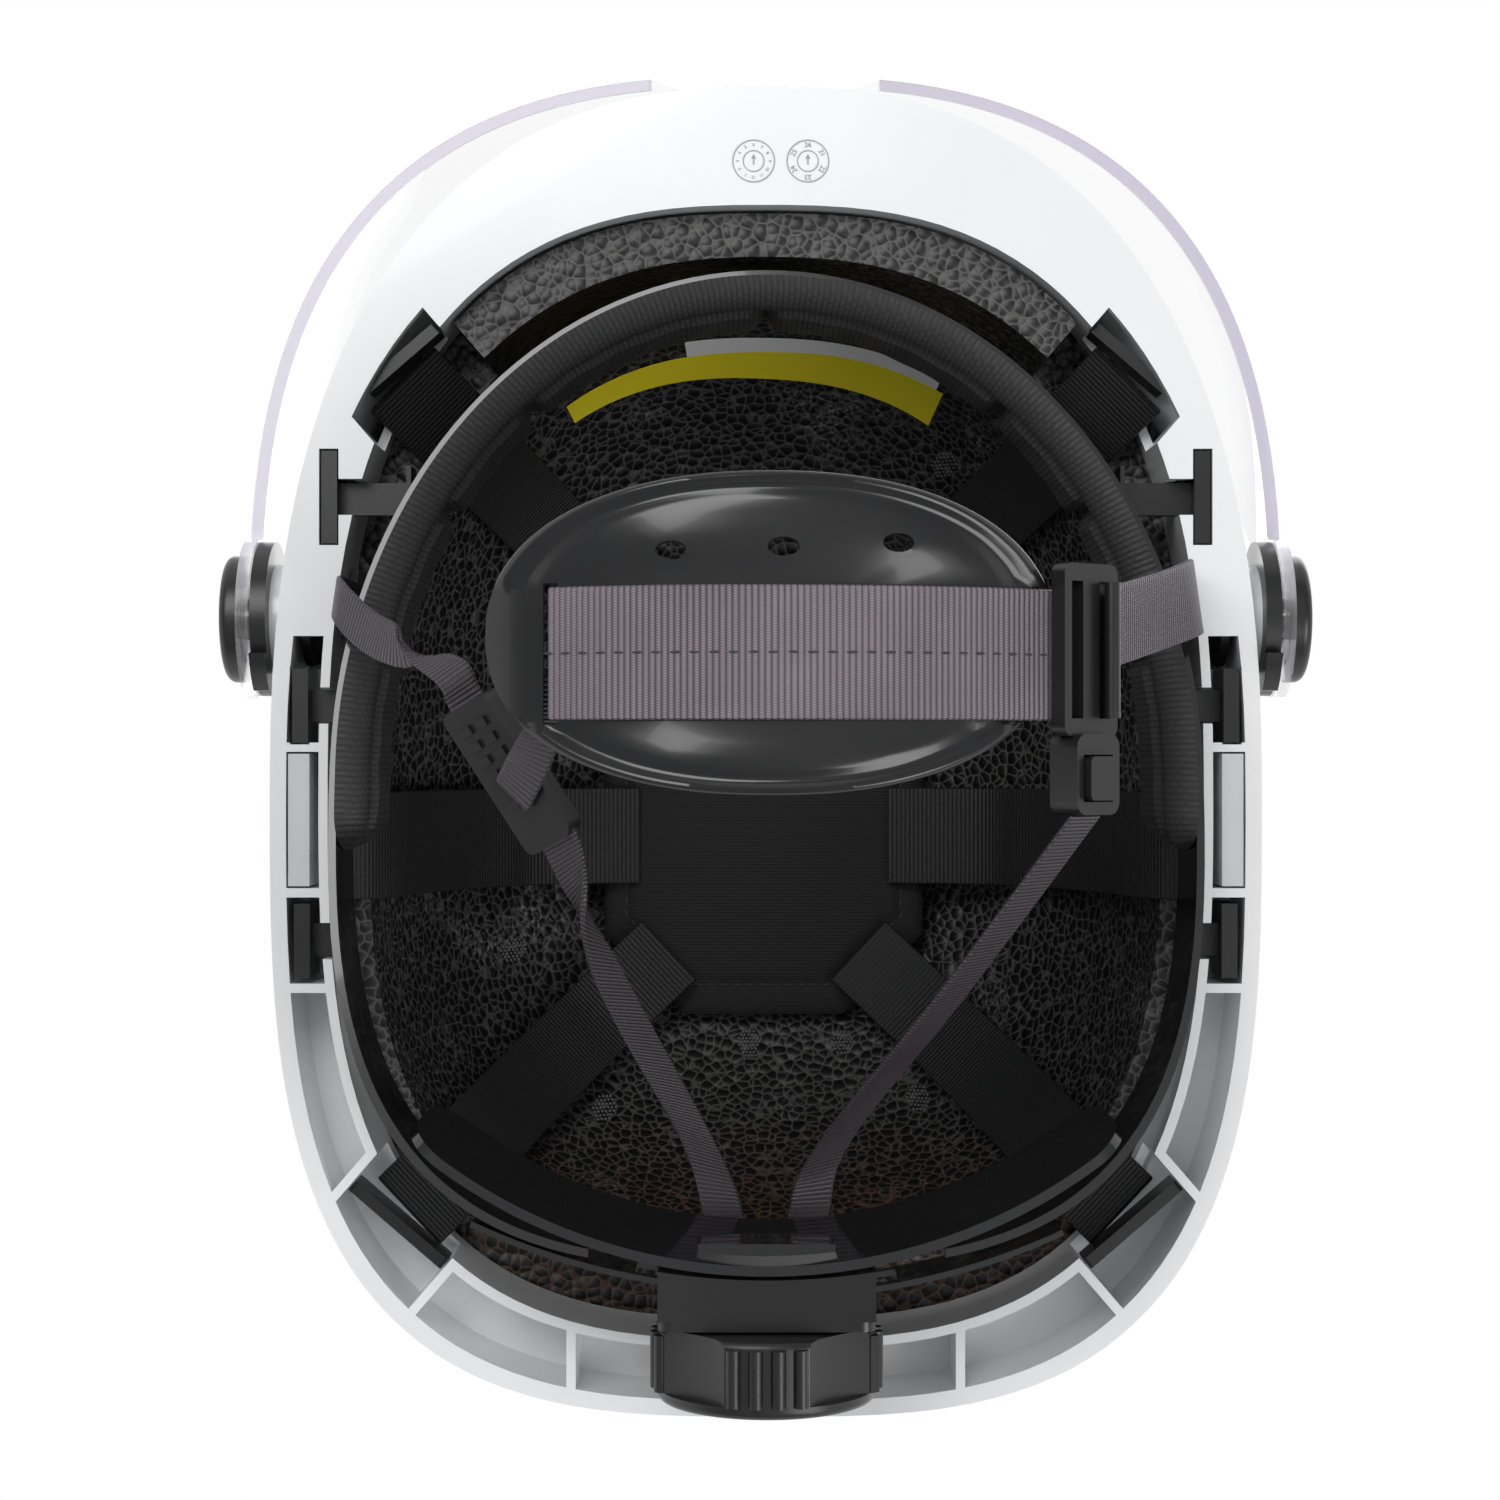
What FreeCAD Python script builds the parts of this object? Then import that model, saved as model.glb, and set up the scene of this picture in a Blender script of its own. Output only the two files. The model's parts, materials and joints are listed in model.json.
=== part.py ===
"""Climbing-style hard hat with flip-up clear visor, ratchet headband and chin strap.

Millimetres.  +Z is up through the crown, -Y is the front, +X is the wearer's left.
The origin is on the mid-plane, level with the lower rim, in the middle of the shell's length.
"""

import FreeCAD, Part

import math
import os
from collections import namedtuple

V = FreeCAD.Vector
X_AXIS, Y_AXIS, Z_AXIS = V(1, 0, 0), V(0, 1, 0), V(0, 0, 1)

# ---------------------------------------------------------------- shell and brim
SHELL_CENTRE_Y = 7.3        # where the plan curve is widest
SHELL_HALF_WIDTH = 107.0
SHELL_FRONT = 138.0         # centre to the front of the dome, without the brim
SHELL_REAR = 133.1
SHELL_HEIGHT = 148.0
SHELL_WALL = 3.0
EDGE_LIP = 0.5  # how far the lower edge stands inside the wall above it
BRIM_REACH = 15.8           # how far the brim stands in front of the dome
BRIM_HEIGHT = 22.0          # where the brim has faded into the dome
FRONT_POWER = 2.45
REAR_POWER = 3.1
DOME_POWER = 2.2

# ---------------------------------------------------------------- inner rim wall
RIM_GAP = 10.5              # outline to inner wall at the sides
RIM_FRONT_GAP = 23.5        # outline to inner wall at the brim
RIM_REAR_GAP = 14.6
RIM_WALL = 2.0
RIM_HEIGHT = 24.0
RIM_FRONT_POWER = 2.65
RIM_REAR_POWER = 2.9
LEDGE_Z = 20.0
LEDGE_THICK = 2.0
BRIM_PLATE_END_Y = -28.0    # behind this the rim channel is open below
RIB_THICK = 2.0
SIDE_RIB_Y = (-4.0, 27.4, 48.0)
REAR_RIB_X = (0.0, 14.0, 42.0)

# ---------------------------------------------------------------- foam liner
LINER_CLEARANCE = 0.9
LINER_BOTTOM = 26.0
LINER_FRONT_BOTTOM = 5.0
LINER_FRONT_HALF_WIDTH = 68.0
LINER_POCKET_GAP = 1.0      # foam to a strap pocket's cheek
LINER_HALF_WIDTH = 90.5     # inner face
LINER_FRONT = 118.0
LINER_REAR = 104.5
LINER_HEIGHT = 124.0
LINER_FRONT_POWER = 2.4

# ---------------------------------------------------------------- headband
BAND_HALF_WIDTH = 91.0      # outer face
BAND_FRONT = 107.0
BAND_REAR = 101.0
BAND_FRONT_POWER = 2.0
BAND_REAR_POWER = 3.0
BAND_THICK = 1.6
BAND_HEIGHT = 26.0
BAND_FRONT_Z = 14.0
BAND_REAR_Z = -28.0
BAND_END_X = 36.0           # the two rear ends stop here
PAD_THICK = 8.5
PAD_HEIGHT = 38.0
PAD_END_Y = 18.0
SOFT_CLEARANCE = 0.3

# ---------------------------------------------------------------- crown suspension
CROWN_PAD_Z = 101.0
CROWN_PAD_THICK = 4.0
CROWN_PAD_HALF_WIDTH = 40.0
CROWN_PAD_FRONT_Y = -45.0
CROWN_PAD_REAR_Y = 63.0
CROWN_PAD_CORNER = 20.0
STRAP_THICK = 1.4
SIDE_STRAP_WIDTH = 24.0
SIDE_STRAP_Y = 18.0
SIDE_STRAP_SHOULDER_X = 88.0
SIDE_STRAP_END_GAP = 1.9    # rim wall to the strap's lower face
SIDE_STRAP_END_Z = 21.0
DIAGONAL_STRAP_WIDTH = 20.0
STRAP_LAP = 9.0             # how far a strap runs under the crown pad
STRAP_INSIDE_LINER = 5.0
STRAP_DOME_HEIGHT = 112.0
STRAP_HEIGHTS = (92.0, 82.0, 70.0, 56.0, 44.0, 34.0)
SHOULDER_OUT = 14.0         # from the pocket back to where a strap turns down
SHOULDER_Z = 23.5
POCKET_STRAP_Z = 9.0
POCKET_WIDTH = 27.0
POCKET_HEIGHT = 18.0
POCKET_DEPTH = 9.0          # mouth past the strap's place, clear of the outer skin
POCKET_FRONT = (79.0, -84.0)
POCKET_REAR = (77.5, 97.0)
KEY_THICK = 2.6
KEY_HEIGHT = 9.0
KEY_CLEARANCE = 0.6

# ---------------------------------------------------------------- headband hangers
HANGER_BAR_THICK = 3.4
HANGER_BAR_HEIGHT = 15.0
HANGER_WEB_THICK = 7.0
HANGER_WEB_HEIGHT = 3.0
HANGER_CLEARANCE = 0.4

# ---------------------------------------------------------------- nape support and ratchet
NAPE_CENTRE_Y = -9.5
NAPE_TOP_RADIUS = 105.0
NAPE_BOTTOM_RADIUS = 110.0
NAPE_THICK = 2.0
NAPE_TOP_Z = -14.0
NAPE_BOTTOM_Z = -42.0
NAPE_HALF_ANGLE = 41.0
KNOB_Z = -28.0
RACK_CENTRE_Y = -35.5
RACK_INNER_RADIUS = 141.0
RACK_THICK = 1.2
RACK_GAP = 0.4              # between the two racks and to the housing
RACK_HEIGHT = 18.0
RACK_INNER_END = 22.0       # arc length past the knob's axis
RACK_OUTER_END = 62.0
RACK_TIGHTEN = 20.0
RACK_LOOSEN = 10.0
TOOTH_PITCH = 3.0
PINION_TEETH = 10
TOOTH_HEIGHT = 1.5
TOOTH_BASE = 1.35
TOOTH_TIP = 0.7
TOOTH_CLEARANCE = 0.35
HOUSING_HALF_WIDTH = 22.0
HOUSING_HALF_HEIGHT = 14.0
HOUSING_WALL = 1.8
COVER_THICK = 2.0
KNOB_RADIUS = 24.0
KNOB_LENGTH = 15.5
KNOB_GAP = 0.5
KNOB_RIB_RADIUS = 1.5
KNOB_RIB_TURNS = (-17.4, -5.8, 5.8, 17.4)   # the four ribs of one grip group
KNOB_PANEL_RADIUS = 60.0    # hollow panels between the four groups
KNOB_PANEL_DEPTH = 2.4
SHAFT_RADIUS = 3.0
RUNNING_CLEARANCE = 0.05
SCREW_RADIUS = 1.5
SCREW_HEAD_RADIUS = 3.4
SCREW_HEAD_THICK = 1.6

# ---------------------------------------------------------------- visor and its pivots
PIVOT_Y = -32.3
PIVOT_Z = 15.0
VISOR_RADIUS = 123.0        # pivot axis to the outer face at the mid-plane
VISOR_HALF_WIDTH = 114.1
VISOR_THICK = 2.4
EAR_THICK = 2.7
VISOR_POWER = 2.65
VISOR_LOW_ANGLE = 5.0       # above the horizontal when raised
VISOR_HIGH_ANGLE = 49.0
NOSE_RADIUS = 30.0
NOSE_DEPTH = 15.0
EAR_RADIUS = 17.5
BOLT_RADIUS = 4.5
BASE_THICK = 3.4
BASE_RADIUS = 17.0
FOOT_RADIUS = 19.6
PIVOT_GAP = 0.3
BOSS_RADIUS = 12.0
CAP_RADIUS = 14.0
CAP_THICK = 4.1
CAP_WALL = 1.6
WASHER_RADIUS = 9.0
WASHER_THICK = 0.6
BOLT_HEAD_RADIUS = 7.0
BOLT_HEAD_THICK = 1.5
NUT_RADIUS = 10.5
NUT_THICK = 4.6
NUT_HEX = 7.0

# ---------------------------------------------------------------- accessory slot plugs
PLUG_FRONT_Y = -2.6
PLUG_REAR_Y = 26.0
PLUG_THICK = 4.6
PLUG_HEIGHT = 17.0
PLUG_CLEARANCE = 0.3

# ---------------------------------------------------------------- chin strap
CUP_CENTRE = (0.5, -25.0)
CUP_HALF_LENGTH = 54.5
CUP_HALF_WIDTH = 30.0
CUP_RADIUS = 88.0           # outer face
CUP_THICK = 3.0
CUP_BOTTOM_Z = -89.0
CUP_VENTS = ((-18.0, -40.4), (2.8, -41.0), (24.2, -41.9))
CUP_VENT_RADIUS = 2.2
CHIN_WEB_WIDTH = 25.0
CHIN_WEB_Y = -21.5
CHIN_WEB_LEFT_X = -40.0
CHIN_WEB_RIGHT_X = 63.0
WEB_THICK = 1.3
SIDE_WEB_WIDTH = 16.0
BUCKLE_ANGLE = 41.5         # round the cup's axis from straight down
BUCKLE_Y = -22.5
BUCKLE_LENGTH = 15.0        # along the strap
BUCKLE_WIDTH = 33.0         # across the strap
BUCKLE_THICK = 3.4
BUCKLE_SLOT = 3.2
RELEASE_LENGTH = 12.0
RELEASE_WIDTH = 15.0
RELEASE_THICK = 7.0
SLIDER_START = (-58.6, -12.8, -58.5)
SLIDER_END = (-41.2, 14.4, -56.5)
SLIDER_WIDTH = 12.0
SLIDER_MOUTH = 2.2
SLIDER_WALL = 1.2
SLIDER_UP = (0.45, -0.3, 0.85)
NARROW_WEB_WIDTH = 8.8      # straps where they enter the slider
SLIDER_THICK = 5.0
ANCHOR_WIDTH = 22.0
ANCHOR_THICK = 1.8
ANCHOR_TURN = 8.0
SIDE_WEB_Y = -35.3

Plan = namedtuple("Plan", "half_width front rear front_power rear_power centre_y")
SHELL_PLAN = Plan(SHELL_HALF_WIDTH, SHELL_FRONT, SHELL_REAR, FRONT_POWER, REAR_POWER, SHELL_CENTRE_Y)
RIM_PLAN = Plan(SHELL_HALF_WIDTH - RIM_GAP, SHELL_FRONT + BRIM_REACH - RIM_FRONT_GAP,
                SHELL_REAR - RIM_REAR_GAP, RIM_FRONT_POWER, RIM_REAR_POWER, SHELL_CENTRE_Y)
LINER_PLAN = Plan(LINER_HALF_WIDTH, LINER_FRONT, LINER_REAR, LINER_FRONT_POWER,
                  RIM_REAR_POWER, SHELL_CENTRE_Y)
STRAP_PLAN = LINER_PLAN._replace(half_width=LINER_HALF_WIDTH - STRAP_INSIDE_LINER,
                                 front=LINER_FRONT - STRAP_INSIDE_LINER, rear=LINER_REAR - STRAP_INSIDE_LINER)
BAND_PLAN = Plan(BAND_HALF_WIDTH, BAND_FRONT, BAND_REAR, BAND_FRONT_POWER, BAND_REAR_POWER, 0.0)
DOME_LEVELS = (0.0, 0.07, 0.15, 0.3, 0.45, 0.6, 0.73, 0.84, 0.92, 0.97, 0.992, 0.999)
PLAN_POINTS = 36
REACH = 400.0               # larger than the whole hat, for cutting blocks


def save(shape, name):
    """Write one piece to its own STEP file."""
    shape = shape.removeSplitter() if len(shape.Solids) == 1 else shape
    solids = shape.Solids
    result = solids[0] if len(solids) == 1 else Part.makeCompound(solids)
    result.exportStep(os.path.join("parts", name + ".step"))
    print(f"{name}: {len(solids)} solid(s), {result.Volume / 1000:.2f} cm3, valid {result.isValid()}")


def box(low, high):
    """A block between two corners."""
    size = [high[i] - low[i] for i in range(3)]
    return Part.makeBox(size[0], size[1], size[2], V(*low))


def cylinder_x(radius, x_from, x_to, y=PIVOT_Y, z=PIVOT_Z):
    """A round bar along X."""
    start, end = min(x_from, x_to), max(x_from, x_to)
    return Part.makeCylinder(radius, end - start, V(start, y, z), X_AXIS)


def cylinder_y(radius, y_from, y_to, x=0.0, z=KNOB_Z):
    """A round bar along Y."""
    return Part.makeCylinder(radius, y_to - y_from, V(x, y_from, z), Y_AXIS)


def mirrored(shape):
    """The same piece on the other side of the hat."""
    return shape.mirror(V(0, 0, 0), X_AXIS)


def plan_radius(plan, angle, inset=0.0):
    """Distance from the plan's centre to its curve in one direction."""
    towards_rear = math.sin(angle) >= 0
    length = (plan.rear if towards_rear else plan.front) - inset
    power = plan.rear_power if towards_rear else plan.front_power
    across = abs(math.cos(angle)) / (plan.half_width - inset)
    along = abs(math.sin(angle)) / length
    return (across ** power + along ** power) ** (-1.0 / power)


def plan_x(plan, y, inset=0.0):
    """Half-width of a plan curve at one Y."""
    along = y - plan.centre_y
    towards_rear = along >= 0
    length = (plan.rear if towards_rear else plan.front) - inset
    power = plan.rear_power if towards_rear else plan.front_power
    share = max(0.0, 1.0 - (abs(along) / length) ** power)
    return (plan.half_width - inset) * share ** (1.0 / power)


def plan_wire(plan, z, inset=0.0):
    """One closed smooth curve round the hat, starting at the middle of the rear."""
    points = []
    for i in range(PLAN_POINTS):
        angle = math.pi / 2 + 2 * math.pi * i / PLAN_POINTS
        radius = plan_radius(plan, angle, inset)
        points.append(V(radius * math.cos(angle), plan.centre_y + radius * math.sin(angle), z))
    curve = Part.BSplineCurve()
    curve.interpolate(Points=points, PeriodicFlag=True)
    return Part.Wire([curve.toShape()])


def prism(plan, z_from, z_to, inset=0.0):
    """A straight-sided block with the outline of a plan curve."""
    face = Part.Face(plan_wire(plan, z_from, inset))
    return face.extrude(V(0, 0, z_to - z_from))


def ring(plan, z_from, z_to, inset, thick):
    """A straight-sided band that follows a plan curve."""
    return prism(plan, z_from, z_to, inset).cut(prism(plan, z_from - 1, z_to + 1, inset + thick))


def scaled_plan(plan, share, extra_front=0.0):
    """A plan curve made smaller towards the crown, with the brim added in front."""
    return plan._replace(half_width=plan.half_width * share, front=plan.front * share + extra_front,
                         rear=plan.rear * share)


def dome(plan, height, inset=0.0, brim=0.0):
    """A closed dome on a plan curve; the brim fades out with height."""
    full = plan._replace(half_width=plan.half_width - inset, front=plan.front - inset,
                         rear=plan.rear - inset)
    wires = []
    for level in DOME_LEVELS:
        z = (height - inset) * level
        share = (1.0 - level ** DOME_POWER) ** (1.0 / DOME_POWER)
        fade = max(0.0, 1.0 - z / BRIM_HEIGHT) ** 2
        wires.append(plan_wire(scaled_plan(full, share, brim * fade), z))
    return Part.makeLoft(wires, True)


def ribbon(stations, width, thick):
    """Flat webbing through stations of (centre, direction across, face normal)."""
    wires = []
    for centre, across, normal in stations:
        middle = V(*centre)
        side = V(*across).normalize() * (width / 2)
        face = V(*normal)
        face = (face - side * (face.dot(side) / side.dot(side))).normalize() * (thick / 2)
        corners = [middle + side + face, middle - side + face, middle - side - face,
                   middle + side - face]
        wires.append(Part.makePolygon(corners + corners[:1]))
    return Part.makeLoft(wires, True, True)


# ================================================================ shell
def pocket_direction(place):
    """Unit direction in plan from the middle of the hat to a strap pocket."""
    return V(place[0], place[1] - SHELL_CENTRE_Y, 0).normalize()


def placed_in_pocket(shape, place, side):
    """Turn a piece built along +X so that it points out through a pocket, and move it there."""
    out = pocket_direction(place)
    moved = shape.copy()
    moved.rotate(V(0, 0, 0), Z_AXIS, math.degrees(math.atan2(out.y, out.x)))
    moved.translate(V(place[0], place[1], 0))
    return moved if side > 0 else mirrored(moved)


def hanger_places():
    """Bar centre, direction to the headband and bar length of the left-hand hangers."""
    middle_x = plan_x(RIM_PLAN, -13.0) + RIM_WALL + 0.6
    rear_x = plan_x(RIM_PLAN, 37.8) + RIM_WALL + 0.6
    front = V(plan_x(RIM_PLAN, -58.0) + RIM_WALL + 0.2, -58.0, 0)
    return {
        "front": (front, V(-1, 0.0, 0).normalize(), 20.0, 26.0),
        "middle": (V(middle_x, -13.0, 0), V(-1, 0, 0), 16.0, 0.0),
        "rear": (V(rear_x, 37.8, 0), V(-1, 0, 0), 16.0, 0.0),
    }


def hanger_web_slot(centre, width):
    """The notch in the inner rim wall that a hanger's web drops into."""
    half = width / 2 + HANGER_CLEARANCE
    return box((centre.x - 9, centre.y - half, -1), (centre.x + HANGER_BAR_THICK, centre.y + half, 14))


def outer_shell():
    """Dome, brim, inner rim wall, ledge, ribs, pockets and the two pivot bosses."""
    outer = dome(SHELL_PLAN, SHELL_HEIGHT, brim=BRIM_REACH)
    cavity = dome(SHELL_PLAN, SHELL_HEIGHT, inset=SHELL_WALL, brim=BRIM_REACH)
    cavity = cavity.cut(box((-REACH, -REACH, -1), (REACH, REACH, SHELL_WALL)))
    channel = prism(SHELL_PLAN, -1, SHELL_WALL + 1, SHELL_WALL + EDGE_LIP)
    channel = channel.common(box((-REACH, BRIM_PLATE_END_Y, -1), (REACH, REACH, SHELL_WALL + 1)))
    shell = outer.cut(cavity).cut(channel).cut(prism(RIM_PLAN, -1, SHELL_WALL + 1, RIM_WALL))

    inside = dome(SHELL_PLAN, SHELL_HEIGHT, inset=SHELL_WALL / 2)
    between = inside.cut(prism(RIM_PLAN, -1, SHELL_HEIGHT, RIM_WALL / 2))
    between = between.common(box((-REACH, -REACH, -1), (REACH, REACH, LEDGE_Z + LEDGE_THICK)))
    wall = ring(RIM_PLAN, 0, RIM_HEIGHT, 0, RIM_WALL)
    ledge = between.common(box((-REACH, BRIM_PLATE_END_Y, LEDGE_Z), (REACH, REACH, REACH)))
    rib_top = LEDGE_Z + LEDGE_THICK / 4
    ribs = []
    for side in (-1, 1):
        low_x, high_x = sorted((side * 80.0, side * REACH))
        for y in SIDE_RIB_Y:
            ribs.append(box((low_x, y - RIB_THICK / 2, 0), (high_x, y + RIB_THICK / 2, rib_top)))
        for x in REAR_RIB_X:
            ribs.append(box((side * x - RIB_THICK / 2, 90, 0), (side * x + RIB_THICK / 2, REACH, rib_top)))
        for place in (POCKET_FRONT, POCKET_REAR):
            for edge in (-1, 1):
                middle = edge * (POCKET_WIDTH + RIB_THICK) / 2
                cheek = box((-14, middle - RIB_THICK / 2, 0), (40, middle + RIB_THICK / 2, POCKET_HEIGHT))
                ribs.append(placed_in_pocket(cheek, place, side))
    shell = shell.fuse([wall, ledge] + [rib.common(between) for rib in ribs])

    skin_x = plan_x(SHELL_PLAN, PIVOT_Y)
    bosses = []
    cuts = []
    for side in (-1, 1):
        bosses.append(cylinder_x(BOSS_RADIUS, side * (skin_x - SHELL_WALL / 2), side * base_inner_x()))
        cuts.append(cylinder_x(BOLT_RADIUS + 0.2, side * (nut_inner_x() - 4), side * (skin_x + 9)))
        cuts.append(cylinder_x(NUT_RADIUS + 1.5, side * (nut_inner_x() - 0.8), side * (nut_outer_x() + 0.3)))
    inside_wall = prism(SHELL_PLAN, -2, POCKET_HEIGHT + 1, SHELL_WALL + EDGE_LIP)
    for place in (POCKET_FRONT, POCKET_REAR):
        mouth = box((-30, -POCKET_WIDTH / 2, -1), (POCKET_DEPTH, POCKET_WIDTH / 2, POCKET_HEIGHT))
        for side in (-1, 1):
            cuts.append(placed_in_pocket(mouth, place, side).common(inside_wall))
    for centre, _, length, _ in hanger_places().values():
        slot = hanger_web_slot(centre, HANGER_WEB_THICK)
        seat = box((centre.x - HANGER_CLEARANCE, centre.y - length / 2 - HANGER_CLEARANCE, -1),
                   (centre.x + HANGER_BAR_THICK + HANGER_CLEARANCE,
                    centre.y + length / 2 + HANGER_CLEARANCE, HANGER_BAR_HEIGHT + 1))
        for shape in (slot, seat):
            cuts.append(shape)
            cuts.append(mirrored(shape))
    shell = shell.fuse(bosses)
    for shape in cuts:
        shell = shell.cut(shape)
    return shell


# ================================================================ foam liner
def impact_liner():
    """Expanded foam liner: a thick dome that also fills the front behind the brim."""
    outer = dome(SHELL_PLAN, SHELL_HEIGHT, inset=SHELL_WALL + LINER_CLEARANCE)
    outer = outer.cut(box((-REACH, -REACH, -1), (REACH, REACH, LINER_BOTTOM)))
    front = prism(RIM_PLAN, LINER_FRONT_BOTTOM, LINER_BOTTOM + 1, RIM_WALL + LINER_CLEARANCE)
    front = front.common(box((-LINER_FRONT_HALF_WIDTH, -REACH, 0),
                             (LINER_FRONT_HALF_WIDTH, -40, LINER_BOTTOM + 1)))
    reach = POCKET_WIDTH / 2 + RIB_THICK + LINER_POCKET_GAP
    pocket = box((-60, -reach, 0), (60, reach, LINER_BOTTOM))
    for side in (-1, 1):
        front = front.cut(placed_in_pocket(pocket, POCKET_FRONT, side))
    return outer.fuse(front).cut(dome(LINER_PLAN, LINER_HEIGHT))


# ================================================================ headband and pads
def tilted_slab(height):
    """A slab that falls from the brow to the nape, used to trim upright bands."""
    fall = (BAND_REAR_Z - BAND_FRONT_Z) / (BAND_REAR + BAND_FRONT)
    slab = box((-REACH, -REACH, -height / 2), (REACH, REACH, height / 2))
    slab.rotate(V(0, 0, 0), X_AXIS, math.degrees(math.atan(fall)))
    slab.translate(V(0, 0, BAND_FRONT_Z + fall * BAND_FRONT))
    return slab


def headband():
    """Plastic band round the head, open between its two rear ends."""
    band = ring(BAND_PLAN, -80, 80, 0, BAND_THICK).common(tilted_slab(BAND_HEIGHT))
    return band.cut(box((-BAND_END_X, 0, -90), (BAND_END_X, REACH, 90)))


def brow_pad():
    """Foam and fabric pad inside the front of the headband."""
    inset = BAND_THICK + SOFT_CLEARANCE
    pad = ring(BAND_PLAN, -80, 80, inset, PAD_THICK).common(tilted_slab(PAD_HEIGHT))
    return pad.cut(box((-REACH, PAD_END_Y, -90), (REACH, REACH, 90)))


def crown_pad():
    """Flat pad with cut corners over the top of the head."""
    w, f, r, c = CROWN_PAD_HALF_WIDTH, CROWN_PAD_FRONT_Y, CROWN_PAD_REAR_Y, CROWN_PAD_CORNER
    corners = [(-w, f + c), (-w + c, f), (w - c, f), (w, f + c), (w, r - c), (w - c, r),
               (-w + c, r), (-w, r - c)]
    points = [V(x, y, CROWN_PAD_Z) for x, y in corners]
    face = Part.Face(Part.makePolygon(points + points[:1]))
    return face.extrude(V(0, 0, CROWN_PAD_THICK))


def reach_on_plan(plan, start, along):
    """How far from a start point, in one direction, a plan curve is crossed."""
    low, high = 0.0, 2 * plan.rear
    for _ in range(50):
        middle = (low + high) / 2
        x, y = start[0] + along.x * middle, start[1] + along.y * middle - plan.centre_y
        inside = math.hypot(x, y) < plan_radius(plan, math.atan2(y, x))
        low, high = (middle, high) if inside else (low, middle)
    return low


def crown_strap(start, along, top_z, width, ends):
    """Webbing in an upright plane: from the crown pad's edge, over the head, down to the rim."""
    across = V(-along.y, along.x, 0)
    profile = [(0.0, top_z)]
    for z in STRAP_HEIGHTS:
        share = (1.0 - (z / STRAP_DOME_HEIGHT) ** DOME_POWER) ** (1.0 / DOME_POWER)
        profile.append((reach_on_plan(scaled_plan(STRAP_PLAN, share), start, along), z))
    profile.extend(ends)
    origin = V(start[0], start[1], 0)

    def lift(points):
        return [origin + along * s + V(0, 0, z) for s, z in points]

    outer = []
    for i, (s, z) in enumerate(profile):
        before = profile[max(0, i - 1)]
        after = profile[min(len(profile) - 1, i + 1)]
        step = math.hypot(after[0] - before[0], after[1] - before[1])
        normal = ((before[1] - after[1]) / step, (after[0] - before[0]) / step)
        outer.append((s + normal[0] * STRAP_THICK, z + normal[1] * STRAP_THICK))
    lower, upper = Part.BSplineCurve(), Part.BSplineCurve()
    lower.interpolate(lift(profile))
    upper.interpolate(lift(outer))
    closing = Part.makeLine(lift(outer)[0], lift(profile)[0])
    tip = Part.makeLine(lift(profile)[-1], lift(outer)[-1])
    wire = Part.Wire([lower.toShape(), tip, upper.toShape().reversed(), closing])
    sheet = Part.Face(wire)
    sheet.translate(across * (-width / 2))
    return sheet.extrude(across * width)


def crown_straps():
    """The three left-hand straps that carry the crown pad."""
    side_z = CROWN_PAD_Z - STRAP_THICK - SOFT_CLEARANCE
    diagonal_z = side_z - STRAP_THICK - SOFT_CLEARANCE
    side_x = CROWN_PAD_HALF_WIDTH - STRAP_LAP
    side_end = plan_x(RIM_PLAN, SIDE_STRAP_Y, RIM_WALL) - SIDE_STRAP_END_GAP
    side_ends = [(SIDE_STRAP_SHOULDER_X - side_x, SHOULDER_Z), (side_end - side_x, SIDE_STRAP_END_Z)]
    straps = {"side": crown_strap((side_x, SIDE_STRAP_Y), X_AXIS, side_z, SIDE_STRAP_WIDTH, side_ends)}
    inward = CROWN_PAD_CORNER / 2 + STRAP_LAP * 0.7
    corners = {"front": (CROWN_PAD_FRONT_Y + inward, POCKET_FRONT),
               "rear": (CROWN_PAD_REAR_Y - inward, POCKET_REAR)}
    for name, (corner_y, place) in corners.items():
        start = (CROWN_PAD_HALF_WIDTH - inward, corner_y)
        along = V(place[0] - start[0], place[1] - start[1], 0)
        length = along.Length
        ends = [(length - SHOULDER_OUT, SHOULDER_Z), (length, POCKET_STRAP_Z)]
        straps[name] = crown_strap(start, along.normalize(), diagonal_z, DIAGONAL_STRAP_WIDTH, ends)
    return straps


def strap_key():
    """Flat plastic key sewn into the end of a diagonal strap; built along +X."""
    start = STRAP_THICK + KEY_CLEARANCE
    half = POCKET_WIDTH / 2 - SOFT_CLEARANCE
    plate = box((start, -half, 3.0), (start + KEY_THICK, half, 3.0 + KEY_HEIGHT))
    return plate.makeFillet(0.8, [e for e in plate.Edges if abs(e.tangentAt(e.FirstParameter).x) > 0.9])


def hanger(centre, inward, length, turn):
    """Hook of the headband: an upright bar in the rim channel and a web to the band."""
    half = length / 2
    bar = box((centre.x, centre.y - half, 0.6), (centre.x + HANGER_BAR_THICK, centre.y + half, HANGER_BAR_HEIGHT))
    band_x = plan_x(BAND_PLAN, centre.y)
    web = box((band_x + HANGER_CLEARANCE, centre.y - HANGER_WEB_THICK / 2, 6.0),
              (centre.x + 1.0, centre.y + HANGER_WEB_THICK / 2, 6.0 + HANGER_WEB_HEIGHT))
    plate_x = band_x + HANGER_CLEARANCE
    plate = box((plate_x, centre.y - HANGER_WEB_THICK, 3.0), (plate_x + 1.0, centre.y + HANGER_WEB_THICK, 13.0))
    return bar.fuse([web, plate]).cut(prism(BAND_PLAN, -5, 30, -HANGER_CLEARANCE))


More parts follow.
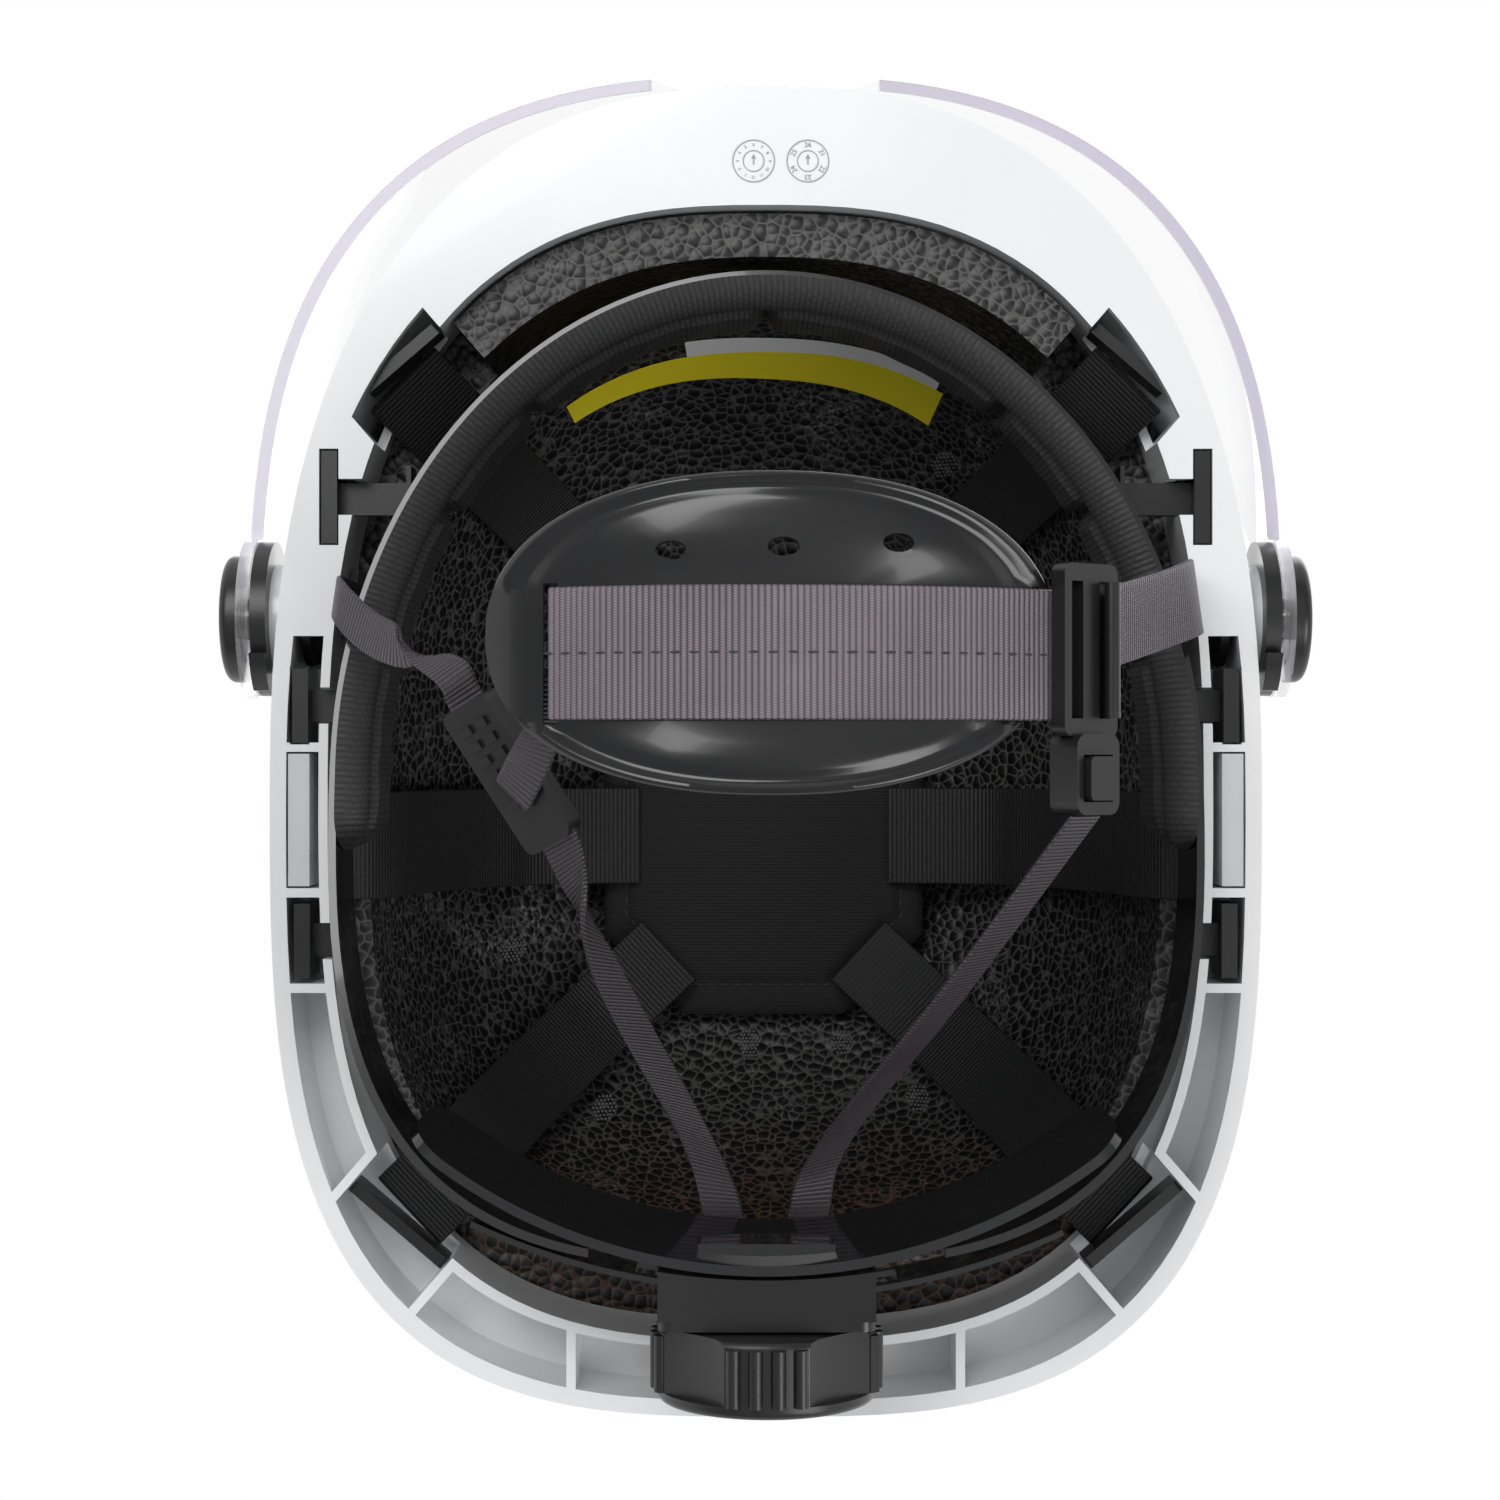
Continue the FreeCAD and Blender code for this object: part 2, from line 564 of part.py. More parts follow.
# ================================================================ nape support and ratchet
def sector(inner, outer, z_from, z_to, centre_y, half_angle):
    """Part of an upright round wall, centred on the rear of the hat."""
    profile = [V(inner, 0, z_from), V(outer, 0, z_from), V(outer, 0, z_to), V(inner, 0, z_to)]
    face = Part.Face(Part.makePolygon(profile + profile[:1]))
    face.rotate(V(0, 0, 0), Z_AXIS, 90 - half_angle)
    face.translate(V(0, centre_y, 0))
    return face.revolve(V(0, centre_y, 0), Z_AXIS, 2 * half_angle)


def nape_support():
    """Curved cradle under the back of the head, leaning outwards towards its lower edge."""
    profile = [V(NAPE_TOP_RADIUS, 0, NAPE_TOP_Z), V(NAPE_TOP_RADIUS + NAPE_THICK, 0, NAPE_TOP_Z),
               V(NAPE_BOTTOM_RADIUS + NAPE_THICK, 0, NAPE_BOTTOM_Z), V(NAPE_BOTTOM_RADIUS, 0, NAPE_BOTTOM_Z)]
    face = Part.Face(Part.makePolygon(profile + profile[:1]))
    face.rotate(V(0, 0, 0), Z_AXIS, 90 - NAPE_HALF_ANGLE)
    face.translate(V(0, NAPE_CENTRE_Y, 0))
    cradle = face.revolve(V(0, NAPE_CENTRE_Y, 0), Z_AXIS, 2 * NAPE_HALF_ANGLE)
    ends = [e for e in cradle.Edges if e.Length < 40 and abs(e.tangentAt(e.FirstParameter).z) < 0.2
            and e.Length < NAPE_THICK * 1.5]
    cradle = cradle.makeFillet(9.0, ends)
    neck_start = NAPE_CENTRE_Y + NAPE_TOP_RADIUS + 1.5
    neck = box((-14, neck_start, KNOB_Z - 8), (14, neck_start + 20, KNOB_Z + 8))
    solid_room = sector(60, housing_inner_radius() - RACK_GAP / 2, -60, 0, RACK_CENTRE_Y, 20)
    back = cradle_back_cut()
    return cradle.fuse(neck.common(solid_room).cut(back))


def cradle_back_cut():
    """Space on the head's side of the cradle, kept free of the neck."""
    return sector(1, NAPE_TOP_RADIUS + 0.5, -70, 10, NAPE_CENTRE_Y, 60)


def housing_inner_radius():
    return RACK_INNER_RADIUS - RACK_GAP - HOUSING_WALL


def racks_outer_radius():
    return RACK_INNER_RADIUS + 2 * RACK_THICK + RACK_GAP


def housing_y():
    """Where the flat back of the housing is."""
    return RACK_CENTRE_Y + racks_outer_radius() + 3.4


def ratchet_housing():
    """Tray that holds both racks and the pinion, curved like the racks on the head's side."""
    block = sector(housing_inner_radius(), racks_outer_radius() + 30, KNOB_Z - HOUSING_HALF_HEIGHT,
                   KNOB_Z + HOUSING_HALF_HEIGHT, RACK_CENTRE_Y, 25)
    block = block.common(box((-HOUSING_HALF_WIDTH, 0, -90), (HOUSING_HALF_WIDTH, housing_y(), 0)))
    half = RACK_HEIGHT / 2 + RACK_GAP
    slot = sector(RACK_INNER_RADIUS - RACK_GAP, racks_outer_radius() + RACK_GAP, KNOB_Z - half,
                  KNOB_Z + half, RACK_CENTRE_Y, 30)
    pinion_room = cylinder_y(pinion_tip_radius() + 0.8, pinion_start_y() - 0.3, housing_y() + 1)
    return block.cut(slot).cut(pinion_room)


def pitch_radius():
    return PINION_TEETH * TOOTH_PITCH / (2 * math.pi)


def pinion_tip_radius():
    return pitch_radius() + TOOTH_HEIGHT / 2


def pinion_start_y():
    return RACK_CENTRE_Y + RACK_INNER_RADIUS - RACK_GAP / 2


def tooth(root, tip, shift=0.0):
    """A tooth outline in the X-Z plane: root and tip are heights above the origin."""
    return [V(-TOOTH_BASE / 2 + shift, 0, root), V(TOOTH_BASE / 2 + shift, 0, root),
            V(TOOTH_TIP / 2 + shift, 0, tip), V(-TOOTH_TIP / 2 + shift, 0, tip)]


def ratchet_pinion():
    """Small gear on a shaft that turns with the knob."""
    root = pitch_radius() - TOOTH_HEIGHT / 2 - TOOTH_CLEARANCE
    length = housing_y() - 0.3 - pinion_start_y()
    gear = cylinder_y(root + 0.05, 0, length, z=0)
    outline = tooth(root - 0.3, pinion_tip_radius())
    single = Part.Face(Part.makePolygon(outline + outline[:1])).extrude(V(0, length, 0))
    for i in range(PINION_TEETH):
        turned = single.copy()
        turned.rotate(V(0, 0, 0), Y_AXIS, 360.0 * i / PINION_TEETH)
        gear = gear.fuse(turned)
    shaft = cylinder_y(SHAFT_RADIUS, length - 0.1, length + 0.3 + COVER_THICK + KNOB_GAP + 6.0, z=0)
    gear = gear.fuse(shaft)
    gear.translate(V(0, pinion_start_y(), KNOB_Z))
    pilot = cylinder_y(SCREW_RADIUS, knob_start_y() - 2.0, knob_start_y() + 20.0)
    return gear.cut(pilot)


def rack(inner_radius, teeth_up, side):
    """Curved toothed strip; side is +1 if it comes from the wearer's left."""
    radius = inner_radius + RACK_THICK / 2
    inner_end = math.degrees(RACK_INNER_END / radius)
    outer_end = math.degrees(RACK_OUTER_END / radius)
    strip = sector(inner_radius, inner_radius + RACK_THICK, KNOB_Z - RACK_HEIGHT / 2,
                   KNOB_Z + RACK_HEIGHT / 2, RACK_CENTRE_Y, (inner_end + outer_end) / 2)
    middle = side * (inner_end - outer_end) / 2
    strip.rotate(V(0, RACK_CENTRE_Y, 0), Z_AXIS, middle)

    window_in = RACK_LOOSEN + pinion_tip_radius() + 1.5
    window_out = RACK_TIGHTEN + pinion_tip_radius() + 1.5
    tooth_root = pitch_radius() + TOOTH_HEIGHT / 2 + TOOTH_CLEARANCE
    plain_edge = pinion_tip_radius() + 0.7
    low, high = (-plain_edge, tooth_root) if teeth_up else (-tooth_root, plain_edge)
    span = math.degrees((window_in + window_out) / 2 / radius)
    window = sector(inner_radius - 1, inner_radius + RACK_THICK + 1, KNOB_Z + low, KNOB_Z + high,
                    RACK_CENTRE_Y, span)
    window.rotate(V(0, RACK_CENTRE_Y, 0), Z_AXIS, side * math.degrees((window_in - window_out) / 2 / radius))
    strip = strip.cut(window)

    sign = 1 if teeth_up else -1
    outline = tooth(sign * (tooth_root + 0.3), sign * (pitch_radius() - TOOTH_HEIGHT / 2))
    face = Part.Face(Part.makePolygon(outline + outline[:1]))
    single = face.extrude(V(0, RACK_THICK + 1.0, 0))
    single.translate(V(0, RACK_CENTRE_Y + inner_radius - 0.5, KNOB_Z))
    trimmed = single.common(sector(inner_radius, inner_radius + RACK_THICK, -60, 0, RACK_CENTRE_Y, 6))
    first = -int((window_out - 1.0) / TOOTH_PITCH)
    last = int((window_in - 1.0) / TOOTH_PITCH)
    for i in range(first, last + 1):
        placed = trimmed.copy()
        arc = (i + 0.5) * TOOTH_PITCH
        placed.rotate(V(0, RACK_CENTRE_Y, 0), Z_AXIS, side * math.degrees(arc / radius))
        strip = strip.fuse(placed)
    return strip


def ratchet_cover():
    """Plate that closes the housing behind the pinion."""
    start = housing_y()
    plate = box((-HOUSING_HALF_WIDTH, start, KNOB_Z - HOUSING_HALF_HEIGHT),
                (HOUSING_HALF_WIDTH, start + COVER_THICK, KNOB_Z + HOUSING_HALF_HEIGHT))
    corners = [e for e in plate.Edges if abs(e.tangentAt(e.FirstParameter).y) > 0.9]
    plate = plate.makeFillet(3.0, corners)
    return plate.cut(cylinder_y(SHAFT_RADIUS + RUNNING_CLEARANCE, start - 1, start + COVER_THICK + 1))


def knob_start_y():
    return housing_y() + COVER_THICK + KNOB_GAP


def adjuster_knob():
    """Round grip with ribs round its edge and a dished outer face."""
    start = knob_start_y()
    body = cylinder_y(KNOB_RADIUS - KNOB_RIB_RADIUS, start, start + KNOB_LENGTH)
    face_edges = [e for e in body.Edges if abs(e.Length - 2 * math.pi * (KNOB_RADIUS - KNOB_RIB_RADIUS)) < 0.1]
    body = body.makeFillet(1.5, face_edges)
    radius = KNOB_RADIUS - KNOB_RIB_RADIUS
    for quarter in range(4):
        middle = math.radians(90 * quarter)
        away = radius + KNOB_PANEL_RADIUS - KNOB_PANEL_DEPTH
        panel = cylinder_y(KNOB_PANEL_RADIUS, start - 1, start + KNOB_LENGTH - 2.5,
                           x=away * math.cos(middle + math.pi / 4), z=KNOB_Z + away * math.sin(middle + math.pi / 4))
        body = body.cut(panel)
        for turn in KNOB_RIB_TURNS:
            angle = middle + math.radians(turn)
            rib = cylinder_y(KNOB_RIB_RADIUS, start + 1.5, start + KNOB_LENGTH - 2.5,
                             x=radius * math.cos(angle), z=KNOB_Z + radius * math.sin(angle))
            body = body.fuse(rib)
    dish = Part.makeSphere(60.0, V(0, start + KNOB_LENGTH + 58.6, KNOB_Z))
    bore = cylinder_y(SHAFT_RADIUS + RUNNING_CLEARANCE, start - 1, start + 6.0)
    screw_hole = cylinder_y(SCREW_RADIUS + RUNNING_CLEARANCE, start, start + KNOB_LENGTH + 1)
    head_room = cylinder_y(SCREW_HEAD_RADIUS + 0.3, start + 8.0, start + KNOB_LENGTH + 1)
    return body.cut(dish).cut(bore).cut(screw_hole).cut(head_room)


def knob_screw():
    """Screw that holds the knob on the pinion's shaft."""
    seat = knob_start_y() + 8.0
    screw = cylinder_y(SCREW_RADIUS - RUNNING_CLEARANCE, knob_start_y() - 1.5, seat)
    head = cylinder_y(SCREW_HEAD_RADIUS, seat, seat + SCREW_HEAD_THICK)
    drive = box((-2.2, seat + 0.8, KNOB_Z - 0.4), (2.2, seat + 3.0, KNOB_Z + 0.4))
    cross = box((-0.4, seat + 0.8, KNOB_Z - 2.2), (0.4, seat + 3.0, KNOB_Z + 2.2))
    return screw.fuse(head).cut(drive).cut(cross)


# ================================================================ visor and pivots
def ear_outer_x():
    return VISOR_HALF_WIDTH


def ear_inner_x():
    return VISOR_HALF_WIDTH - EAR_THICK


def base_outer_x():
    return ear_inner_x() - PIVOT_GAP


def base_inner_x():
    return base_outer_x() - BASE_THICK


def nut_outer_x():
    return plan_x(SHELL_PLAN, PIVOT_Y) * 0.995 - SHELL_WALL - 0.4


def nut_inner_x():
    return nut_outer_x() - NUT_THICK


def lune(half_width, radius, low, high):
    """Solid wedge between two planes through the pivot axis, with a superellipse outline."""
    points = []
    count = 24
    for i in range(count + 1):
        angle = math.pi * i / count
        across = abs(math.cos(angle)) / half_width
        along = math.sin(angle) / radius
        reach = (across ** VISOR_POWER + along ** VISOR_POWER) ** (-1.0 / VISOR_POWER)
        points.append(V(reach * math.cos(angle), -max(0.0, reach * math.sin(angle)), 0))
    points[0], points[-1] = V(half_width, 0, 0), V(-half_width, 0, 0)
    curve = Part.BSplineCurve()
    curve.interpolate(points)
    face = Part.Face(Part.Wire([curve.toShape(), Part.makeLine(points[-1], points[0])]))
    face.rotate(V(0, 0, 0), X_AXIS, -low)
    solid = face.revolve(V(0, 0, 0), X_AXIS, -(high - low))
    solid.translate(V(0, PIVOT_Y, PIVOT_Z))
    return solid


def visor():
    """Clear shield swept about the pivot axis, so that it clears the brim all the way down."""
    outer = lune(VISOR_HALF_WIDTH, VISOR_RADIUS, VISOR_LOW_ANGLE, VISOR_HIGH_ANGLE)
    inner = lune(VISOR_HALF_WIDTH - EAR_THICK, VISOR_RADIUS - VISOR_THICK, VISOR_LOW_ANGLE - 8,
                 VISOR_HIGH_ANGLE + 8)
    sheet = outer.cut(inner)
    edge = math.radians(VISOR_LOW_ANGLE)
    outward = V(0, -math.cos(edge), math.sin(edge))
    downward = V(0, -math.sin(edge), -math.cos(edge))
    centre = V(0, PIVOT_Y, PIVOT_Z) + outward * (VISOR_RADIUS - 20) + downward * (NOSE_RADIUS - NOSE_DEPTH)
    sheet = sheet.cut(Part.makeCylinder(NOSE_RADIUS, 40, centre, outward))
    for side in (-1, 1):
        ear = cylinder_x(EAR_RADIUS, side * ear_inner_x(), side * ear_outer_x())
        sheet = sheet.fuse(ear)
    for side in (-1, 1):
        room = cylinder_x(EAR_RADIUS + 1, side * (ear_inner_x() - 8), side * ear_inner_x())
        hole = cylinder_x(BOLT_RADIUS + RUNNING_CLEARANCE, side * (ear_inner_x() - 5), side * (ear_outer_x() + 5))
        sheet = sheet.cut(room).cut(hole)
    return sheet


def visor_base():
    """Mount disc between the shell's boss and the visor's ear, with a stop foot."""
    disc = cylinder_x(BASE_RADIUS, base_inner_x(), base_outer_x())
    foot = box((base_inner_x(), PIVOT_Y + 8, PIVOT_Z - FOOT_RADIUS), (base_outer_x(), PIVOT_Y + 16, PIVOT_Z))
    foot = foot.common(cylinder_x(FOOT_RADIUS, base_inner_x() - 1, base_outer_x() + 1))
    return disc.fuse(foot).cut(cylinder_x(BOLT_RADIUS + 0.2, base_inner_x() - 1, base_outer_x() + 1))


def pivot_washer():
    """Thin slip washer outside the ear."""
    start = ear_outer_x() + 0.1
    ring_shape = cylinder_x(WASHER_RADIUS, start, start + WASHER_THICK)
    return ring_shape.cut(cylinder_x(BOLT_RADIUS + 0.1, start - 1, start + 2))


def bolt_head_x():
    return ear_outer_x() + 0.1 + WASHER_THICK + 0.1


def pivot_bolt():
    """Bolt from the nut inside the rim out to the washer."""
    shaft = cylinder_x(BOLT_RADIUS, nut_inner_x() + 0.5, bolt_head_x() + 0.2)
    head = cylinder_x(BOLT_HEAD_RADIUS, bolt_head_x(), bolt_head_x() + BOLT_HEAD_THICK)
    return shaft.fuse(head)


def pivot_nut():
    """Round nut with a flange, inside the rim channel."""
    flange = cylinder_x(NUT_RADIUS, nut_outer_x() - 1.8, nut_outer_x())
    points = []
    for i in range(6):
        angle = math.radians(60 * i)
        points.append(V(nut_inner_x(), PIVOT_Y + NUT_HEX * math.cos(angle), PIVOT_Z + NUT_HEX * math.sin(angle)))
    hexagon = Part.Face(Part.makePolygon(points + points[:1])).extrude(V(NUT_THICK - 1.0, 0, 0))
    bore = cylinder_x(BOLT_RADIUS + RUNNING_CLEARANCE, nut_inner_x() - 1, nut_outer_x() + 1)
    return flange.fuse(hexagon).cut(bore)


def pivot_cap():
    """Domed cover over the bolt head."""
    start = ear_outer_x() + PIVOT_GAP
    cap = cylinder_x(CAP_RADIUS, start, start + CAP_THICK)
    outer_rim = [e for e in cap.Edges if abs(e.CenterOfMass.x - (start + CAP_THICK)) < 0.01]
    cap = cap.makeFillet(2.0, outer_rim)
    return cap.cut(cylinder_x(CAP_RADIUS - 3.5, start - 1, start + CAP_THICK - CAP_WALL))


# ================================================================ accessory slot plugs
def slot_plug():
    """Cover of the accessory slot: it pulls down out of the rim channel."""
    middle = (PLUG_FRONT_Y + PLUG_REAR_Y) / 2
    x_out = plan_x(SHELL_PLAN, middle, SHELL_WALL) - PLUG_CLEARANCE - 0.6
    body = box((x_out - PLUG_THICK, PLUG_FRONT_Y, 0.5), (x_out, PLUG_REAR_Y, PLUG_HEIGHT))
    pocket = box((x_out - PLUG_THICK + 1.2, PLUG_FRONT_Y + 1.5, 2.0),
                 (x_out - 1.2, PLUG_REAR_Y - 1.5, PLUG_HEIGHT + 1))
    return body.cut(pocket)


# ================================================================ chin strap
def cup_axis_z():
    return CUP_BOTTOM_Z + CUP_RADIUS


def arc_patch(inner, outer, y_from, y_to, x_from, x_to):
    """Part of a round trough along Y, under its axis."""
    tube = Part.makeCylinder(outer, y_to - y_from, V(0, y_from, cup_axis_z()), Y_AXIS)
    tube = tube.cut(Part.makeCylinder(inner, y_to - y_from + 2, V(0, y_from - 1, cup_axis_z()), Y_AXIS))
    return tube.common(box((x_from, y_from - 1, CUP_BOTTOM_Z - 10), (x_to, y_to + 1, cup_axis_z() - 20)))


def chin_cup():
    """Shallow cup that wraps the chin, with a slot for the webbing and three vents."""
    patch = arc_patch(CUP_RADIUS - CUP_THICK, CUP_RADIUS, CUP_CENTRE[1] - 40, CUP_CENTRE[1] + 40, -60, 60)
    outline = Part.Ellipse(V(0, 0, 0), CUP_HALF_LENGTH, CUP_HALF_WIDTH)
    face = Part.Face(Part.Wire([outline.toShape()]))
    face.translate(V(CUP_CENTRE[0], CUP_CENTRE[1], CUP_BOTTOM_Z - 5))
    cup = patch.common(face.extrude(V(0, 0, 60)))
    for x, y in CUP_VENTS:
        cup = cup.cut(Part.makeCylinder(CUP_VENT_RADIUS, 40, V(x, y, CUP_BOTTOM_Z - 5)))
    half = CHIN_WEB_WIDTH / 2 + 0.8
    slot = box((CHIN_WEB_LEFT_X - 2.4, CHIN_WEB_Y - half, CUP_BOTTOM_Z - 5),
               (CHIN_WEB_LEFT_X + 0.4, CHIN_WEB_Y + half, CUP_BOTTOM_Z + 60))
    return cup.cut(slot)


def chin_webbing():
    """Webbing across the outside of the chin cup, tucked into the slot at one end."""
    inner = CUP_RADIUS + SOFT_CLEARANCE
    low, high = CHIN_WEB_Y - CHIN_WEB_WIDTH / 2, CHIN_WEB_Y + CHIN_WEB_WIDTH / 2
    band = arc_patch(inner, inner + WEB_THICK, low, high, CHIN_WEB_LEFT_X - 1.7, CHIN_WEB_RIGHT_X)
    return band


def tuck_webbing():
    """Short tail inside the cup, from the slot to the strap slider."""
    inner = CUP_RADIUS - CUP_THICK - SOFT_CLEARANCE - WEB_THICK / 2
    x = CHIN_WEB_LEFT_X - 1.0
    low_z = cup_axis_z() - math.sqrt(inner ** 2 - x ** 2)
    slope = (1, 0, x / inner)
    normal = (-x / inner, 0, 1)
    _, along, up = slider_station(0.0)
    middle = V(*slider_station(20.0)[0]) - V(*up) * (SLIDER_THICK / 2 + SOFT_CLEARANCE + WEB_THICK / 2 + 0.7)
    stations = [((x, CHIN_WEB_Y + 4, low_z), slope, normal), ((x - 1, CHIN_WEB_Y + 12, low_z + 3.5), slope, normal),
                (tuple(middle), (0.7, 0.7, 0), up)]
    return ribbon(stations, NARROW_WEB_WIDTH, WEB_THICK)


def buckle_centre():
    """The frame lies outside the webbing, on the cup's own curve."""
    radius = CUP_RADIUS + WEB_THICK + 2 * SOFT_CLEARANCE + BUCKLE_THICK / 2
    angle = math.radians(BUCKLE_ANGLE)
    return V(radius * math.sin(angle), BUCKLE_Y, cup_axis_z() - radius * math.cos(angle))


def buckle_placed(shape):
    """Turn a buckle piece from its flat drawing (X along the strap, Z inwards) to its place."""
    placed = shape.copy()
    placed.rotate(V(0, 0, 0), Y_AXIS, -BUCKLE_ANGLE)
    placed.translate(buckle_centre())
    return placed


def buckle_frame():
    """Frame with two strap slots and the release housing at one end."""
    half_l, half_w, half_t = BUCKLE_LENGTH / 2, BUCKLE_WIDTH / 2, BUCKLE_THICK / 2
    frame = box((-half_l, -half_w, -half_t), (half_l, half_w, half_t))
    frame = frame.makeFillet(2.0, [e for e in frame.Edges if abs(e.tangentAt(e.FirstParameter).z) > 0.9])
    web_half = CHIN_WEB_WIDTH / 2 + 0.6
    for centre in (-half_l + 3.6, half_l - 3.6):
        frame = frame.cut(box((centre - BUCKLE_SLOT / 2, -web_half, -9), (centre + BUCKLE_SLOT / 2, web_half, 9)))
    housing = box((-RELEASE_LENGTH / 2, half_w - 0.5, -RELEASE_THICK / 2),
                  (RELEASE_LENGTH / 2, half_w + RELEASE_WIDTH, RELEASE_THICK / 2))
    housing = housing.makeFillet(2.6, [e for e in housing.Edges if abs(e.tangentAt(e.FirstParameter).z) > 0.9])
    cavity = box((-release_button_half() - 0.3, half_w + 3.5, -RELEASE_THICK),
                 (release_button_half() + 0.3, half_w + 12.5, RELEASE_THICK / 2 - 1.4))
    return buckle_placed(frame.fuse(housing).cut(cavity))


def release_button_half():
    return RELEASE_LENGTH / 2 - 2.2


def buckle_button():
    """Spring-loaded release button in the buckle's housing."""
    half_w = BUCKLE_WIDTH / 2
    button = box((-release_button_half(), half_w + 3.8, -RELEASE_THICK / 2 - 1.6),
                 (release_button_half(), half_w + 12.2, RELEASE_THICK / 2 - 5.0))
    edges = [e for e in button.Edges if abs(e.tangentAt(e.FirstParameter).z) > 0.9]
    return buckle_placed(button.makeFillet(1.2, edges))


def buckle_bar():
    """Loose bar that the webbing is wound round."""
    bar = Part.makeCylinder(1.5, CHIN_WEB_WIDTH + 1.0, V(BUCKLE_LENGTH / 2 - 3.6, -CHIN_WEB_WIDTH / 2 - 0.5,
                                                        -BUCKLE_THICK / 2 - 1.9), Y_AXIS)
    return buckle_placed(bar)


def along_frame(start, end, up_hint):
    """Matrix that carries +X along start to end, with +Z as near the hint as it can be."""
    x_dir = (V(*end) - V(*start)).normalize()
    y_dir = V(*up_hint).cross(x_dir).normalize()
    z_dir = x_dir.cross(y_dir)
    return FreeCAD.Matrix(x_dir.x, y_dir.x, z_dir.x, start[0], x_dir.y, y_dir.y, z_dir.y, start[1],
                          x_dir.z, y_dir.z, z_dir.z, start[2], 0, 0, 0, 1)


def slider_matrix():
    return along_frame(SLIDER_START, SLIDER_END, SLIDER_UP)


def strap_slider():
    """Strap divider: a ribbed plate with a clamp block at its lower end."""
    length = (V(*SLIDER_END) - V(*SLIDER_START)).Length
    half_w, half_t = SLIDER_WIDTH / 2, SLIDER_THICK / 2
    body = box((0, -half_w, -half_t), (length, half_w, half_t))
    body = body.makeFillet(2.0, [e for e in body.Edges if abs(e.tangentAt(e.FirstParameter).z) > 0.9])
    slot_w, slot_t = half_w - SLIDER_WALL, SLIDER_MOUTH / 2
    mouth = box((-1, -slot_w, -slot_t), (7.0, slot_w, slot_t))
    tail = box((length - 7.0, -slot_w, -slot_t), (length + 1, slot_w, slot_t))
    body = body.cut(mouth).cut(tail)
    bump_rows, bump_columns = 6, 2
    for row in range(bump_rows):
        for column in range(bump_columns):
            x, y = 4.0 + row * 3.4, -3.4 + column * 4.2
            body = body.fuse(box((x, y, -half_t - 0.7), (x + 1.8, y + 2.6, -half_t + 0.1)))
    body.transformShape(slider_matrix())
    return body


def slider_station(distance):
    """A webbing station on the slider's long axis, flat in its mouth."""
    matrix = slider_matrix()
    centre = matrix.multVec(V(distance, 0, 0))
    across = matrix.multVec(V(distance, 1, 0)) - centre
    normal = matrix.multVec(V(distance, 0, 1)) - centre
    return (tuple(centre), tuple(across), tuple(normal))


def strap_anchor():
    """Small plate that holds a side strap's end against the rim wall."""
    x = plan_x(RIM_PLAN, SIDE_WEB_Y, RIM_WALL) - SOFT_CLEARANCE - ANCHOR_THICK
    plate = box((x, SIDE_WEB_Y - SIDE_WEB_WIDTH / 2, 12.0), (x + ANCHOR_THICK, SIDE_WEB_Y + SIDE_WEB_WIDTH / 2, 22.0))
    plate.rotate(V(x + ANCHOR_THICK / 2, SIDE_WEB_Y, 0), Z_AXIS, -ANCHOR_TURN)
    return plate


def side_web_stations():
    """Where both side straps run down between the headband and the rim wall, on the left."""
    x = plan_x(RIM_PLAN, SIDE_WEB_Y, RIM_WALL) - 2 * SOFT_CLEARANCE - ANCHOR_THICK - WEB_THICK / 2
    turn = math.radians(ANCHOR_TURN)
    across, normal = (math.sin(turn), math.cos(turn), 0), (math.cos(turn), -math.sin(turn), 0)
    return [((x, SIDE_WEB_Y, 21.0), across, normal), ((x, SIDE_WEB_Y, -21.0), across, normal)]


def side_strap_right():
    """Webbing from the slider up to the rim on the wearer's right."""
    stations = []
    for centre, across, normal in side_web_stations():
        stations.append(((-centre[0], centre[1], centre[2]), (across[0] * -1, across[1], 0),
                         (-normal[0], normal[1], 0)))
    stations.append(((-80.0, -27.0, -38.0), (-0.3, 0.9, 0.2), (-0.8, -0.1, -0.45)))
    for distance in (-8.0, -1.0, 5.0):
        centre, across, normal = slider_station(distance)
        stations.append((centre, tuple(-a for a in across), tuple(-n for n in normal)))
    return ribbon(stations, NARROW_WEB_WIDTH, WEB_THICK)


def side_strap_left():
    """Webbing from the buckle up to the rim on the wearer's left."""
    centre = buckle_centre()
    stations = side_web_stations()
    stations.append(((79.0, SIDE_WEB_Y + 4, -43.0), (0, 1, 0), (0.85, 0, -0.5)))
    stations.append(((centre.x + 6.2, SIDE_WEB_Y + 8, centre.z + 6.4), (0, 1, 0), (0.75, 0, -0.66)))
    return ribbon(stations, SIDE_WEB_WIDTH, WEB_THICK)


def rear_anchor():
    """Plate on the rim's rear wall that both rear straps are fixed to."""
    y = SHELL_CENTRE_Y + RIM_PLAN.rear - RIM_WALL
    return box((-ANCHOR_WIDTH / 2, y - 2.2, 3.0), (ANCHOR_WIDTH / 2, y - 0.3, 15.0))


